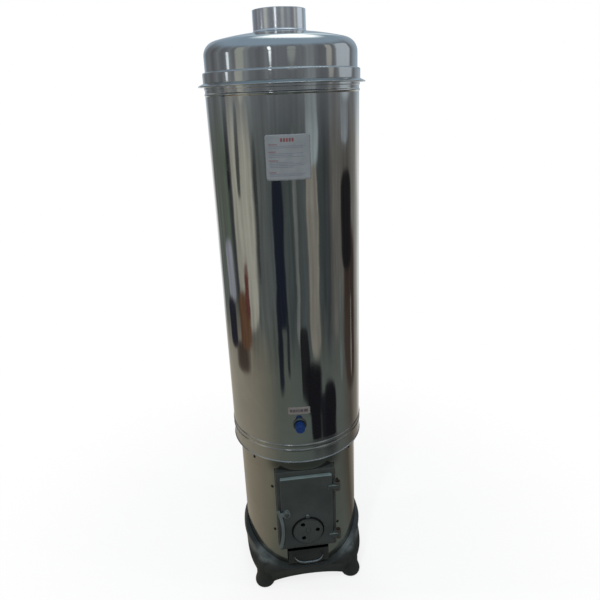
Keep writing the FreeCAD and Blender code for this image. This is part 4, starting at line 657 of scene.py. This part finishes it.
def dim_room():
    """The workshop's surface, turned about the boiler's axis; only reflections meet it.

    Each point of the profile is a distance from the axis, a height and a way.
    """
    radius, top = ROOM_RADIUS, ROOM_HEIGHT
    floor_level, foot, foot_middle = 0.002, 0.3, 0.09
    profile = [(out, floor_level, out - radius) for out in (0.02, 0.26, 1.0, radius - foot)]
    profile += [(radius - foot_middle, foot_middle, 0.0), (radius, foot, foot), (radius, top, top)]
    profile.append((0.01, top, top + radius))
    lines = []
    for out, height, way in profile:
        line = []
        for angle in range(-180, 181, 4):
            turn = math.radians(angle)
            line.append(((out * math.sin(turn), -out * math.cos(turn), height), (angle, way)))
        lines.append(line)
    room = stage_object(woven_mesh("room", lines), room_material())
    room.visible_camera = False
    room.visible_diffuse = False
    room.visible_shadow = False
    room.visible_transmission = False
    room.visible_volume_scatter = False


def lamp(name, angle, distance, height, aim_height, size, power, colour=(1, 1, 1)):
    """A soft lamp that looks at the boiler's axis; size is its width and height."""
    data = bpy.data.lights.new(name, "AREA")
    data.shape = "RECTANGLE"
    data.size, data.size_y = size
    data.energy = power
    data.color = colour
    turn = math.radians(angle)
    place = Vector((distance * math.sin(turn), -distance * math.cos(turn), height))
    item = bpy.data.objects.new(name, data)
    item.location = place
    item.rotation_euler = (Vector((0, 0, aim_height)) - place).to_track_quat("-Z", "Y").to_euler()
    scene.collection.objects.link(item)
    item.visible_camera = False
    item.visible_glossy = False


def studio_world():
    """Even light from all round; white where it is seen directly or in metal and glass."""
    world = bpy.data.worlds.new("studio")
    scene.world = world
    world.use_nodes = True
    tree = world.node_tree
    tree.nodes.clear()
    add, link = tree.nodes.new, tree.links.new
    path = add("ShaderNodeLightPath")
    seen = path.outputs["Is Camera Ray"]
    for kind in ("Is Glossy Ray", "Is Transmission Ray"):
        either = add("ShaderNodeMath")
        either.operation = "MAXIMUM"
        link(seen, either.inputs[0])
        link(path.outputs[kind], either.inputs[1])
        seen = either.outputs[0]
    blend = add("ShaderNodeMixShader")
    link(seen, blend.inputs["Fac"])
    light_strength, white_strength = 0.4, 1.0
    for slot, strength in ((1, light_strength), (2, white_strength)):
        background = add("ShaderNodeBackground")
        background.inputs["Color"].default_value = (1, 1, 1, 1)
        background.inputs["Strength"].default_value = strength
        link(background.outputs[0], blend.inputs[slot])
    link(blend.outputs[0], add("ShaderNodeOutputWorld").inputs["Surface"])


pale_floor()
dim_room()
lamp("key_lamp", -25, 2.3, 2.1, 0.9, (0.12, 1.1), 20)
lamp("left_lamp", -94, 2.3, 2.0, 0.8, (0.09, 0.8), 10)
lamp("right_lamp", 66, 2.3, 2.0, 0.7, (0.09, 0.7), 10)
lamp("top_lamp", -4, 1.3, 2.9, 0.9, (1.1, 0.5), 18, (0.82, 0.93, 1.0))
lamp("back_lamp", 176, 1.2, 2.9, 1.1, (0.6, 0.5), 14, (0.85, 0.95, 1.0))
studio_world()
